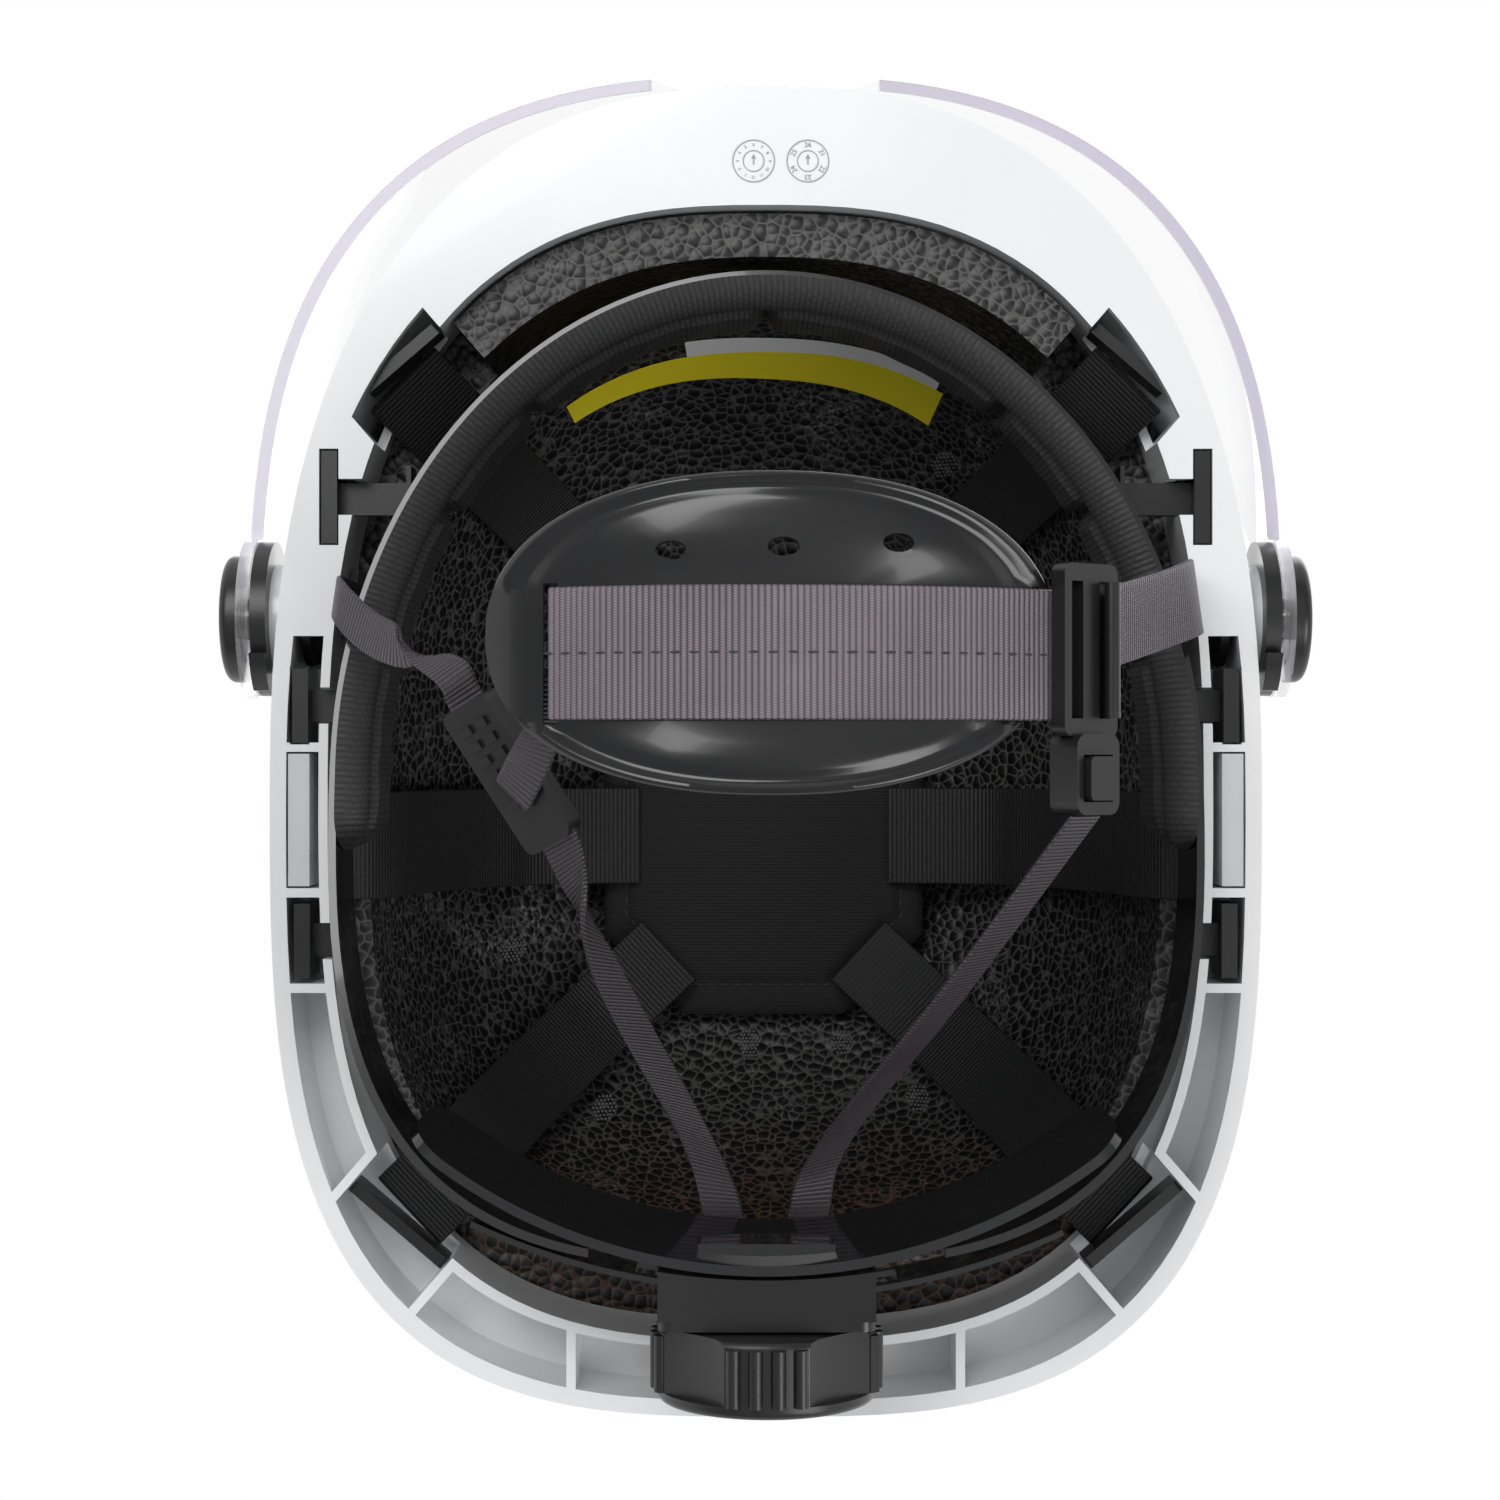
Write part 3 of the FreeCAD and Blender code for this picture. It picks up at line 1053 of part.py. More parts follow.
def rear_strap(lead, side):
    """Twisting webbing from the slider or buckle to the rear anchor."""
    anchor_y = SHELL_CENTRE_Y + RIM_PLAN.rear - RIM_WALL - 2.2
    stations = list(lead)
    stations += [((side * 14.0, 80.0, -13.0), (1, 0.3 * -side, 0.1), (0, 0.35, -1)),
                 ((side * 9.0, 96.0, -7.0), (1, 0, 0), (0, 0.4, -1)),
                 ((side * 6.0, anchor_y - 4.0, 3.0), (1, 0, 0), (0, 0.9, -0.5)),
                 ((side * 5.6, anchor_y - SOFT_CLEARANCE - WEB_THICK / 2, 13.0), (1, 0, 0), (0, 1, 0))]
    return ribbon(stations, NARROW_WEB_WIDTH, WEB_THICK)


def rear_strap_right():
    length = (V(*SLIDER_END) - V(*SLIDER_START)).Length
    lead = [slider_station(length - 5.0), slider_station(length + 3.0),
            ((-31.0, 44.0, -40.0), (0.8, 0.1, 0.6), (0.4, 0.4, -0.8))]
    return rear_strap(lead, -1)


def rear_strap_left():
    centre = buckle_centre()
    start_y = BUCKLE_Y + BUCKLE_WIDTH / 2 + RELEASE_WIDTH + SOFT_CLEARANCE
    lead = [((centre.x, start_y, centre.z), (0.7, 0, 0.7), (0.7, 0.1, -0.7)),
            ((37.0, 46.0, -42.0), (0.8, -0.1, 0.6), (0.4, 0.4, -0.8))]
    return rear_strap(lead, 1)


# ================================================================ build everything
def main():
    os.makedirs("parts", exist_ok=True)
    save(outer_shell(), "outer_shell")
    save(impact_liner(), "impact_liner")
    save(headband(), "headband")
    save(brow_pad(), "brow_pad")
    save(crown_pad(), "crown_pad")
    for name, strap in crown_straps().items():
        save(strap, f"crown_strap_{name}_left")
        save(mirrored(strap), f"crown_strap_{name}_right")
    for name, place in (("front", POCKET_FRONT), ("rear", POCKET_REAR)):
        for side, hand in ((1, "left"), (-1, "right")):
            room = prism(SHELL_PLAN, 0, POCKET_HEIGHT, SHELL_WALL + EDGE_LIP + KEY_CLEARANCE)
            save(placed_in_pocket(strap_key(), place, side).common(room), f"strap_key_{name}_{hand}")
    for name, place in hanger_places().items():
        hook = hanger(*place)
        save(hook, f"headband_hanger_{name}_left")
        save(mirrored(hook), f"headband_hanger_{name}_right")

    save(nape_support(), "nape_support")
    save(ratchet_housing(), "ratchet_housing")
    save(ratchet_cover(), "ratchet_cover")
    save(ratchet_pinion(), "ratchet_pinion")
    save(adjuster_knob(), "adjuster_knob")
    save(knob_screw(), "knob_screw")
    save(rack(RACK_INNER_RADIUS, True, -1), "rack_right")
    save(rack(RACK_INNER_RADIUS + RACK_THICK + RACK_GAP, False, 1), "rack_left")

    save(visor(), "visor")
    for name, maker in (("visor_base", visor_base), ("pivot_washer", pivot_washer),
                        ("pivot_bolt", pivot_bolt), ("pivot_nut", pivot_nut),
                        ("pivot_cap", pivot_cap), ("slot_plug", slot_plug),
                        ("strap_anchor", strap_anchor)):
        piece = maker()
        save(piece, f"{name}_left")
        save(mirrored(piece), f"{name}_right")

    save(chin_cup(), "chin_cup")
    save(chin_webbing(), "chin_webbing")
    save(tuck_webbing(), "chin_webbing_tail")
    save(buckle_frame(), "buckle_frame")
    save(buckle_button(), "buckle_button")
    save(buckle_bar(), "buckle_bar")
    save(strap_slider(), "strap_slider")
    save(side_strap_left(), "side_strap_left")
    save(side_strap_right(), "side_strap_right")
    save(rear_anchor(), "rear_strap_anchor")
    save(rear_strap_right(), "rear_strap_right")
    save(rear_strap_left(), "rear_strap_left")


main()
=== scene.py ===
"""Blender scene of a white hard hat seen from below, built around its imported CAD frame.

Metres.  +Z is up through the crown, -Y is the front, +X is the wearer's left.
"""

import json
import logging
import math
from dataclasses import dataclass, field
from enum import Enum
from typing import NamedTuple

import bmesh
import bpy
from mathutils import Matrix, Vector

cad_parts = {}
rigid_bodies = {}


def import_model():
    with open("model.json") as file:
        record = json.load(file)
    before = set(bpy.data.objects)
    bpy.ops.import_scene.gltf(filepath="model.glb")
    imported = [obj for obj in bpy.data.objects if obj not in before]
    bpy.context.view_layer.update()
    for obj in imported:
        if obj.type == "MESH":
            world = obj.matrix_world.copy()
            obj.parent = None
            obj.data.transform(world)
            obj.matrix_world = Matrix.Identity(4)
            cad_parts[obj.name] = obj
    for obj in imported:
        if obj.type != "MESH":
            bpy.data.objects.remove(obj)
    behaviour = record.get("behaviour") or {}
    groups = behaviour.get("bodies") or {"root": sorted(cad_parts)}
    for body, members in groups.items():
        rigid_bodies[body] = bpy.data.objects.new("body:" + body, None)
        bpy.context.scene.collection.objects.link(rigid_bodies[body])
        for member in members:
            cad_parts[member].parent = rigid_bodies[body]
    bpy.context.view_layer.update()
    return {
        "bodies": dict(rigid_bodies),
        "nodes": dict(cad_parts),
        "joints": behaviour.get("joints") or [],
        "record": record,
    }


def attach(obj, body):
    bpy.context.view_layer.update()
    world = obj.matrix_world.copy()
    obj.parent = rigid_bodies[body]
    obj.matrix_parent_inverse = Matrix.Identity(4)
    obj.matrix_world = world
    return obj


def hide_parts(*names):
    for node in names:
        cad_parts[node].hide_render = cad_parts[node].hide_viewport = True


LOG = logging.getLogger("hard_hat")
MM = 0.001
Colour = tuple[float, float, float]
Effect = tuple[bpy.types.NodeSocket, bpy.types.NodeSocket, bpy.types.NodeSocket]


class Body(Enum):
    """The CAD bodies that new pieces ride on."""

    HAT = "hat"


class Slot(Enum):
    """The record's material slots."""

    SHELL = "shell_white"
    FOAM = "foam_black"
    BAND = "band_black"
    PAD = "pad_fabric"
    CROWN = "crown_fabric"
    WEBBING = "webbing_black"
    MAUVE = "webbing_mauve"
    HARDWARE = "hardware_black"
    CUP = "cup_rubber"
    VISOR = "clear_visor"
    PLUG = "clear_plug"
    STEEL = "steel"


# ---------------------------------------------------------------- shader building
class Shading:
    """Short ways to add and join nodes in one shader tree."""

    def __init__(self, tree: bpy.types.NodeTree) -> None:
        """Keeps the tree.

        Args:
            tree: The material's or group's node tree.
        """
        self.tree = tree

    def node(self, kind: str, **settings: object) -> bpy.types.Node:
        """Adds a node and sets its properties.

        Args:
            kind: The node's type name.
            **settings: Properties to set on it.

        Returns:
            The new node.
        """
        node = self.tree.nodes.new(kind)
        for name, value in settings.items():
            setattr(node, name, value)
        return node

    def put(self, socket: bpy.types.NodeSocket, value: object) -> None:
        """Joins a socket to another one, or sets its own value.

        Args:
            socket: The input socket.
            value: A socket or a plain value.
        """
        if isinstance(value, bpy.types.NodeSocket):
            self.tree.links.new(value, socket)
        else:
            socket.default_value = value

    def math(self, operation: str, *values: object) -> bpy.types.NodeSocket:
        """Adds a Math node.

        Args:
            operation: The node's operation.
            *values: Sockets or numbers for its inputs.

        Returns:
            Its output socket.
        """
        node = self.node("ShaderNodeMath", operation=operation)
        for i, value in enumerate(values):
            self.put(node.inputs[i], value)
        return node.outputs[0]

    def times(self, first: object, second: object) -> bpy.types.NodeSocket:
        """Multiplies two values."""
        return self.math("MULTIPLY", first, second)

    def plus(self, first: object, second: object) -> bpy.types.NodeSocket:
        """Adds two values."""
        return self.math("ADD", first, second)

    def minus(self, first: object, second: object) -> bpy.types.NodeSocket:
        """Takes the second value from the first."""
        return self.math("SUBTRACT", first, second)

    def parts(self, vector: object) -> tuple[bpy.types.NodeSocket, ...]:
        """Returns a vector's X, Y and Z sockets.

        Args:
            vector: The vector's socket.

        Returns:
            Its three parts.
        """
        node = self.node("ShaderNodeSeparateXYZ")
        self.put(node.inputs[0], vector)
        return tuple(node.outputs)

    def spread(self, value: object, low: float, high: float, to_low: float = 0.0,
               to_high: float = 1.0) -> bpy.types.NodeSocket:
        """Maps one range to another, held at its ends.

        Args:
            value: The socket to map.
            low: Start of the range read.
            high: End of the range read.
            to_low: What low becomes.
            to_high: What high becomes.

        Returns:
            The mapped socket.
        """
        node = self.node("ShaderNodeMapRange")
        for i, item in enumerate((value, low, high, to_low, to_high)):
            self.put(node.inputs[i], item)
        return node.outputs[0]

    def blend(self, share: object, first: object, second: object) -> bpy.types.NodeSocket:
        """Mixes two colours.

        Args:
            share: How much of the second colour.
            first: Colour at 0, a socket or three numbers.
            second: Colour at 1, a socket or three numbers.

        Returns:
            The mixed colour socket.
        """
        node = self.node("ShaderNodeMix", data_type="RGBA")
        self.put(node.inputs["Factor"], share)
        for socket, value in ((node.inputs[6], first), (node.inputs[7], second)):
            self.put(socket, (*value, 1.0) if isinstance(value, tuple) else value)
        return node.outputs[2]

    def noise(self, vector: object, scale: object, detail: float = 3.0) -> bpy.types.NodeSocket:
        """Adds a noise texture.

        Args:
            vector: Where it is read.
            scale: Repeats per metre.
            detail: How many finer layers it has.

        Returns:
            Its factor.
        """
        node = self.node("ShaderNodeTexNoise")
        self.put(node.inputs["Vector"], vector)
        self.put(node.inputs["Scale"], scale)
        node.inputs["Detail"].default_value = detail
        return node.outputs["Fac"]


class GroupKind(Enum):
    """The surface effects that several finishes share."""

    GRAIN = "moulded_grain"
    BEADS = "foam_beads"
    RIBS = "woven_ribs"


class Effects:
    """Shader groups, each built once."""

    def __init__(self) -> None:
        """Starts with no group built."""
        self.made: dict[GroupKind, bpy.types.NodeTree] = {}

    def place(self, shading: Shading, kind: GroupKind, **values: object) -> bpy.types.Node:
        """Places a group in a material.

        Args:
            shading: The material's tree.
            kind: Which effect.
            **values: Inputs by name, with underscores for spaces.

        Returns:
            The group node.
        """
        if kind not in self.made:
            self.made[kind] = self.build(kind)
        node = shading.node("ShaderNodeGroup", node_tree=self.made[kind])
        for name, value in values.items():
            shading.put(node.inputs[name.replace("_", " ")], value)
        return node

    def build(self, kind: GroupKind) -> bpy.types.NodeTree:
        """Builds one group.

        Args:
            kind: Which effect.

        Returns:
            Its node tree.
        """
        tree = bpy.data.node_groups.new(kind.value, "ShaderNodeTree")
        inputs = {
            GroupKind.GRAIN: ("Scale", "Scuffs"),
            GroupKind.BEADS: ("Cell", "Scuffs"),
            GroupKind.RIBS: ("Rib Pitch", "Thread Pitch"),
        }[kind]
        tree.interface.new_socket("Vector", in_out="INPUT", socket_type="NodeSocketVector")
        for name in inputs:
            tree.interface.new_socket(name, in_out="INPUT", socket_type="NodeSocketFloat")
        for name in ("Shade", "Wear", "Height"):
            tree.interface.new_socket(name, in_out="OUTPUT", socket_type="NodeSocketFloat")
        shading = Shading(tree)
        source, sink = shading.node("NodeGroupInput"), shading.node("NodeGroupOutput")
        maker = {GroupKind.GRAIN: self.grain, GroupKind.BEADS: self.beads, GroupKind.RIBS: self.ribs}[kind]
        for name, value in zip(("Shade", "Wear", "Height"), maker(shading, source.outputs)):
            shading.put(sink.inputs[name], value)
        return tree

    @staticmethod
    def grain(shading: Shading, given: bpy.types.NodeOutputs) -> Effect:
        """Fine moulded grain with soft patches and a few scuffs.

        Args:
            shading: The group's tree.
            given: Its input sockets.

        Returns:
            The patches, the wear and the height.
        """
        fine = shading.noise(given["Vector"], given["Scale"], 4.0)
        patches = shading.noise(given["Vector"], 28.0, 2.0)
        stretched = shading.node("ShaderNodeVectorMath", operation="MULTIPLY")
        shading.put(stretched.inputs[0], given["Vector"])
        stretched.inputs[1].default_value = (60.0, 900.0, 200.0)
        marks = shading.spread(shading.noise(stretched.outputs[0], 1.0, 2.0), 0.66, 0.74)
        worn = shading.spread(shading.noise(given["Vector"], 45.0, 3.0), 0.55, 0.7)
        wear = shading.times(shading.times(marks, worn), given["Scuffs"])
        return patches, wear, shading.minus(fine, shading.times(wear, 0.4))

    @staticmethod
    def beads(shading: Shading, given: bpy.types.NodeOutputs) -> Effect:
        """Expanded foam: pressed-together beads with paler seams and scuffed patches.

        Args:
            shading: The group's tree.
            given: Its input sockets.

        Returns:
            The seams, the wear and the height.
        """
        size = shading.math("DIVIDE", 1.0, given["Cell"])
        edge = shading.node("ShaderNodeTexVoronoi", feature="DISTANCE_TO_EDGE")
        cells = shading.node("ShaderNodeTexVoronoi", feature="SMOOTH_F1")
        cells.inputs["Smoothness"].default_value = 0.3
        for texture in (edge, cells):
            shading.put(texture.inputs["Vector"], given["Vector"])
            shading.put(texture.inputs["Scale"], size)
        seam = shading.spread(edge.outputs["Distance"], 0.03, 0.12, 1.0, 0.0)
        patch = shading.spread(shading.noise(given["Vector"], 38.0, 4.0), 0.55, 0.72)
        streak = shading.spread(shading.noise(given["Vector"], 900.0, 2.0), 0.5, 0.75)
        wear = shading.times(shading.times(patch, streak), given["Scuffs"])
        dome = shading.minus(1.0, shading.math("POWER", cells.outputs["Distance"], 2.0))
        return seam, wear, dome

    @staticmethod
    def ribs(shading: Shading, given: bpy.types.NodeOutputs) -> Effect:
        """Webbing: ribs across the strap, each made of short threads set half a step apart.

        Args:
            shading: The group's tree.
            given: Its input sockets.

        Returns:
            The painted shade and highlight of the weave, following the rib height and varied by random tone
            patches, the fuzz and the height.
        """
        across, along, _ = shading.parts(given["Vector"])
        rib = shading.math("DIVIDE", along, given["Rib Pitch"])
        ridge = shading.math("ABSOLUTE", shading.math("SINE", shading.times(rib, math.pi)))
        step = shading.times(shading.math("FLOOR", rib), 0.5)
        thread = shading.plus(shading.math("DIVIDE", across, given["Thread Pitch"]), step)
        bead = shading.math("ABSOLUTE", shading.math("SINE", shading.times(thread, math.pi)))
        height = shading.times(ridge, shading.plus(shading.times(bead, 0.45), 0.55))
        fuzz = shading.noise(given["Vector"], 2600.0, 3.0)
        patches = shading.noise(given["Vector"], 60.0, 2.0)
        # Painted shade and highlight: darker in the hollows between ribs and threads, lighter on their tops,
        # varied by random tone patches.
        shade = shading.times(height, shading.plus(shading.times(patches, 0.6), 0.7))
        return shade, fuzz, shading.plus(height, shading.times(fuzz, 0.15))


EFFECTS = Effects()


@dataclass(frozen=True)
class Finish:
    """One material: a base for each kind of surface.

    Attributes:
        name: The material's name.
        low: Colour at the pattern's low end; on woven finishes, painted shade in the weave's hollows.
        high: Colour at its high end and of worn parts; on woven finishes, painted highlight on the rib tops.
        rough: Roughness.
        bump: Height of the pattern in metres.
    """

    name: str
    low: Colour
    high: Colour
    rough: float
    bump: float

    def build(self) -> bpy.types.Material:
        """Builds the node material.

        Returns:
            The material.
        """
        material = bpy.data.materials.new(self.name)
        material.use_nodes = True
        shading = Shading(material.node_tree)
        shader = material.node_tree.nodes["Principled BSDF"]
        height = self.dress(shading, shader)
        bump = shading.node("ShaderNodeBump")
        bump.inputs["Distance"].default_value = self.bump
        shading.put(bump.inputs["Height"], height)
        shading.put(shader.inputs["Normal"], bump.outputs["Normal"])
        return material

    def place(self, shading: Shading, source: str) -> bpy.types.NodeSocket:
        """Returns the Object or UV coordinates' socket."""
        return shading.node("ShaderNodeTexCoord").outputs[source]

    def dress(self, shading: Shading, shader: bpy.types.Node) -> bpy.types.NodeSocket:
        """Sets the shader's inputs and returns the bump height; each kind has its own."""
        raise NotImplementedError


@dataclass(frozen=True)
class Moulded(Finish):
    """Moulded plastic or metal with grain, soft patches and scuffs.

    Attributes:
        scale: Grain repeats per metre.
        scuffs: How strong the scuffs are.
        coat: Clear coat weight.
        metal: Metallic value.
        clear: Transmission weight.
    """

    scale: float = 1500.0
    scuffs: float = 0.5
    coat: float = 0.0
    metal: float = 0.0
    clear: float = 0.0

    def dress(self, shading: Shading, shader: bpy.types.Node) -> bpy.types.NodeSocket:
        """Sets grain, scuffs and gloss.

        Args:
            shading: The material's tree.
            shader: Its shader node.

        Returns:
            The height of the bumps.
        """
        grain = EFFECTS.place(shading, GroupKind.GRAIN, Vector=self.place(shading, "Object"),
                              Scale=self.scale, Scuffs=self.scuffs)
        shade = shading.math("MAXIMUM", grain.outputs["Shade"], grain.outputs["Wear"])
        shading.put(shader.inputs["Base Color"], shading.blend(shade, self.low, self.high))
        rough = shading.spread(grain.outputs["Shade"], 0.3, 0.7, self.rough * 0.85, self.rough * 1.2)
        worn = shading.times(grain.outputs["Wear"], 0.2)
        shading.put(shader.inputs["Roughness"], shading.plus(rough, worn))
        shader.inputs["Coat Weight"].default_value = self.coat
        shader.inputs["Metallic"].default_value = self.metal
        shader.inputs["Transmission Weight"].default_value = self.clear
        return grain.outputs["Height"]


@dataclass(frozen=True)
class BeadFoam(Finish):
    """Expanded bead foam.

    Attributes:
        cell: Bead size in metres.
        seam: Colour of the seams between beads.
        rear: Brown cast of the seams at the back.
        rear_from: Where the brown cast starts, along Y.
        rear_fade: The length over which it comes in.
        scuffs: How strong the scuffs are.
        scuff: Colour of scuffed patches.
    """

    cell: float = 2.5 * MM
    seam: Colour = (0.075, 0.072, 0.070)
    rear: Colour = (0.085, 0.050, 0.036)
    rear_from: float = 88.0 * MM
    rear_fade: float = 15.0 * MM
    scuffs: float = 0.8
    scuff: Colour = (0.33, 0.33, 0.33)

    def dress(self, shading: Shading, shader: bpy.types.Node) -> bpy.types.NodeSocket:
        """Sets beads, seams and scuffs.

        Args:
            shading: The material's tree.
            shader: Its shader node.

        Returns:
            The height of the bumps.
        """
        beads = EFFECTS.place(shading, GroupKind.BEADS, Vector=self.place(shading, "Object"),
                              Cell=self.cell, Scuffs=self.scuffs)
        body = shading.blend(shading.noise(self.place(shading, "Object"), 22.0), self.low, self.high)
        _, back, _ = shading.parts(self.place(shading, "Object"))
        behind = shading.spread(back, self.rear_from, self.rear_from + self.rear_fade)
        seamed = shading.blend(beads.outputs["Shade"], body, shading.blend(behind, self.seam, self.rear))
        shading.put(shader.inputs["Base Color"], shading.blend(beads.outputs["Wear"], seamed, self.scuff))
        shading.put(shader.inputs["Roughness"], shading.spread(
            beads.outputs["Shade"], 0.0, 1.0, self.rough, self.rough * 1.3))
        return beads.outputs["Height"]


@dataclass(frozen=True)
class Woven(Finish):
    """Webbing or ribbed cloth that follows the piece's own UV map, in metres, with painted shade in the
    weave's hollows and painted highlight on the rib tops.

    Attributes:
        rib: Pitch of the ribs.
        thread: Pitch of the threads in a rib.
        sheen: Sheen weight.
        sheen_tint: Sheen colour.
    """

    rib: float = 1.2 * MM
    thread: float = 0.6 * MM
    sheen: float = 0.2
    sheen_tint: Colour = (0.5, 0.5, 0.5)

    def dress(self, shading: Shading, shader: bpy.types.Node) -> bpy.types.NodeSocket:
        """Sets the weave, its painted shade and highlight, and its sheen.

        Args:
            shading: The material's tree.
            shader: Its shader node.

        Returns:
            The height of the bumps.
        """
        ribs = EFFECTS.place(shading, GroupKind.RIBS, Vector=self.place(shading, "UV"),
                             Rib_Pitch=self.rib, Thread_Pitch=self.thread)
        # Base colour follows the rib height: painted shade in the weave's hollows and painted highlight on
        # the rib tops, varied by random tone patches.
        shading.put(shader.inputs["Base Color"], shading.blend(ribs.outputs["Shade"], self.low, self.high))
        shading.put(shader.inputs["Roughness"], shading.spread(
            ribs.outputs["Wear"], 0.2, 0.8, self.rough * 0.85, self.rough * 1.15))
        shader.inputs["Sheen Weight"].default_value = self.sheen
        shader.inputs["Sheen Roughness"].default_value = 0.5
        shader.inputs["Sheen Tint"].default_value = (*self.sheen_tint, 1.0)
        return ribs.outputs["Height"]


@dataclass(frozen=True)
class ClearShield(Finish):
    """Clear sheet swept about the visor's pivot, with a tinted lower edge.

    Attributes:
        edge: Colour of the cut edge.
        pivot: Y and Z of the pivot axis.
        angle: The edge's angle above the horizontal.
        edge_depth: How far above the edge the tint reaches.
        edge_start: How far in front of the pivot it is full.
        face_alpha: How solid the sheet is, looked at squarely.
        edge_alpha: How solid its edges are.
    """

    edge: Colour = (0.50, 0.46, 0.57)
    pivot: tuple[float, float] = (-32.3 * MM, 15.0 * MM)
    angle: float = math.radians(5.0)
    edge_depth: float = 1.2 * MM
    edge_start: float = 20.0 * MM
    face_alpha: float = 0.08
    edge_alpha: float = 0.85

    def dress(self, shading: Shading, shader: bpy.types.Node) -> bpy.types.NodeSocket:
        """Sets the clear body and the tinted edge.

        Args:
            shading: The material's tree.
            shader: Its shader node.

        Returns:
            The height of the bumps.
        """
        place = self.place(shading, "Object")
        _, back, height = shading.parts(place)
        forward = shading.minus(self.pivot[0], back)
        up = shading.minus(height, self.pivot[1])
        above = shading.minus(shading.times(up, math.cos(self.angle)),
                             shading.times(forward, math.sin(self.angle)))
        near = shading.spread(above, 0.0, self.edge_depth, 1.0, 0.0)
        rim = shading.times(near, shading.spread(forward, 0.0, self.edge_start))
        haze = shading.noise(place, 30.0, 2.0)
        sheet = shading.blend(haze, self.low, self.high)
        side = shading.spread(shading.node("ShaderNodeLayerWeight").outputs["Facing"], 0.7, 0.98)
        tinted = shading.math("MAXIMUM", rim, side)
        shading.put(shader.inputs["Base Color"], shading.blend(tinted, sheet, self.edge))
        shading.put(shader.inputs["Roughness"], shading.spread(rim, 0.0, 1.0, self.rough, 0.3))
        solid = shading.spread(tinted, 0.0, 1.0, self.face_alpha, self.edge_alpha)
        shading.put(shader.inputs["Alpha"], solid)
        shader.inputs["Coat Weight"].default_value = 0.5
        return haze


FINISHES: dict[Slot, Finish] = {
    Slot.SHELL: Moulded("white_shell_plastic", (0.80, 0.81, 0.82), (0.86, 0.87, 0.88), 0.22, 0.00001,
                        scale=600.0, scuffs=0.1, coat=0.25),
    Slot.FOAM: BeadFoam("black_bead_foam", (0.004, 0.004, 0.004), (0.009, 0.008, 0.008), 0.4, 0.0007),
    Slot.BAND: Moulded("glossy_band_plastic", (0.004, 0.004, 0.0045), (0.008, 0.008, 0.009), 0.14, 0.000003,
                       scale=120.0, scuffs=0.15, coat=0.6),
    Slot.PAD: Woven("ribbed_pad_cloth", (0.003, 0.003, 0.0035), (0.020, 0.020, 0.021), 0.6, 0.00016,
                    rib=1.3 * MM, thread=0.9 * MM, sheen=0.06),
    Slot.CROWN: Woven("crown_pad_cloth", (0.003, 0.003, 0.0035), (0.011, 0.011, 0.012), 0.8, 0.0001,
                      rib=0.8 * MM, thread=0.8 * MM, sheen=0.03),
    Slot.WEBBING: Woven("black_webbing", (0.003, 0.003, 0.0035), (0.016, 0.016, 0.017), 0.55, 0.00018,
                        rib=1.1 * MM, thread=0.55 * MM, sheen=0.04),
    Slot.MAUVE: Woven("mauve_webbing", (0.035, 0.028, 0.034), (0.225, 0.185, 0.216), 0.30, 0.0002,
                      rib=1.2 * MM, thread=0.5 * MM, sheen=0.06, sheen_tint=(0.8, 0.7, 0.8)),
    Slot.HARDWARE: Moulded("black_hardware_plastic", (0.006, 0.006, 0.0065), (0.012, 0.012, 0.013), 0.32,
                           0.000004, scale=1600.0),
    Slot.CUP: Moulded("chin_cup_rubber", (0.006, 0.006, 0.0065), (0.012, 0.012, 0.013), 0.22, 0.000006,
                      scale=500.0, coat=0.15),
    Slot.VISOR: ClearShield("clear_visor_sheet", (0.90, 0.89, 0.94), (0.95, 0.945, 0.975), 0.02, 0.000001),
    Slot.PLUG: Moulded("frosted_clear_plug", (0.78, 0.79, 0.81), (0.92, 0.92, 0.93), 0.3, 0.00003,
                       scale=900.0, clear=0.25),
    Slot.STEEL: Moulded("zinc_plated_steel", (0.45, 0.45, 0.46), (0.62, 0.62, 0.63), 0.3, 0.00002,
                        metal=1.0),
}
# A darker copy of the mauve webbing for the narrow tail, side and rear straps: painted shade for the shade
# they lie in.
MAUVE_WEBBING_PAINTED_SHADE = Woven("mauve_webbing_painted_shade", (0.009, 0.007, 0.009), (0.058, 0.045, 0.054), 0.34, 0.0002,
                     rib=1.0 * MM, thread=0.5 * MM, sheen=0.05, sheen_tint=(0.8, 0.7, 0.8))
YELLOW_STICKER = Moulded("yellow_sticker", (0.88, 0.72, 0.02), (0.97, 0.84, 0.03), 0.4, 0.00002, scale=800.0)
WHITE_STICKER = Moulded("white_sticker", (0.80, 0.80, 0.80), (0.88, 0.88, 0.88), 0.45, 0.00002, scale=800.0)
GREY_PRINT = Moulded("grey_dial_print", (0.30, 0.30, 0.31), (0.38, 0.38, 0.39), 0.5, 0.00001)
VENT_DOTS = Moulded("grey_foam_dots", (0.10, 0.10, 0.10), (0.16, 0.16, 0.16), 0.5, 0.00001)
STITCH_THREAD = Moulded("dark_stitch_thread", (0.02, 0.018, 0.02), (0.045, 0.04, 0.045), 0.6, 0.00002)


class Wardrobe:
    """Builds each finish once."""

    def __init__(self) -> None:
        """Starts with no material built."""
        self.made: dict[str, bpy.types.Material] = {}

    def get(self, finish: Finish) -> bpy.types.Material:
        """Returns a finish's material, built on first use.

        Args:
            finish: The finish.

        Returns:
            Its material.
        """
        if finish.name not in self.made:
            self.made[finish.name] = finish.build()
        return self.made[finish.name]


WARDROBE = Wardrobe()


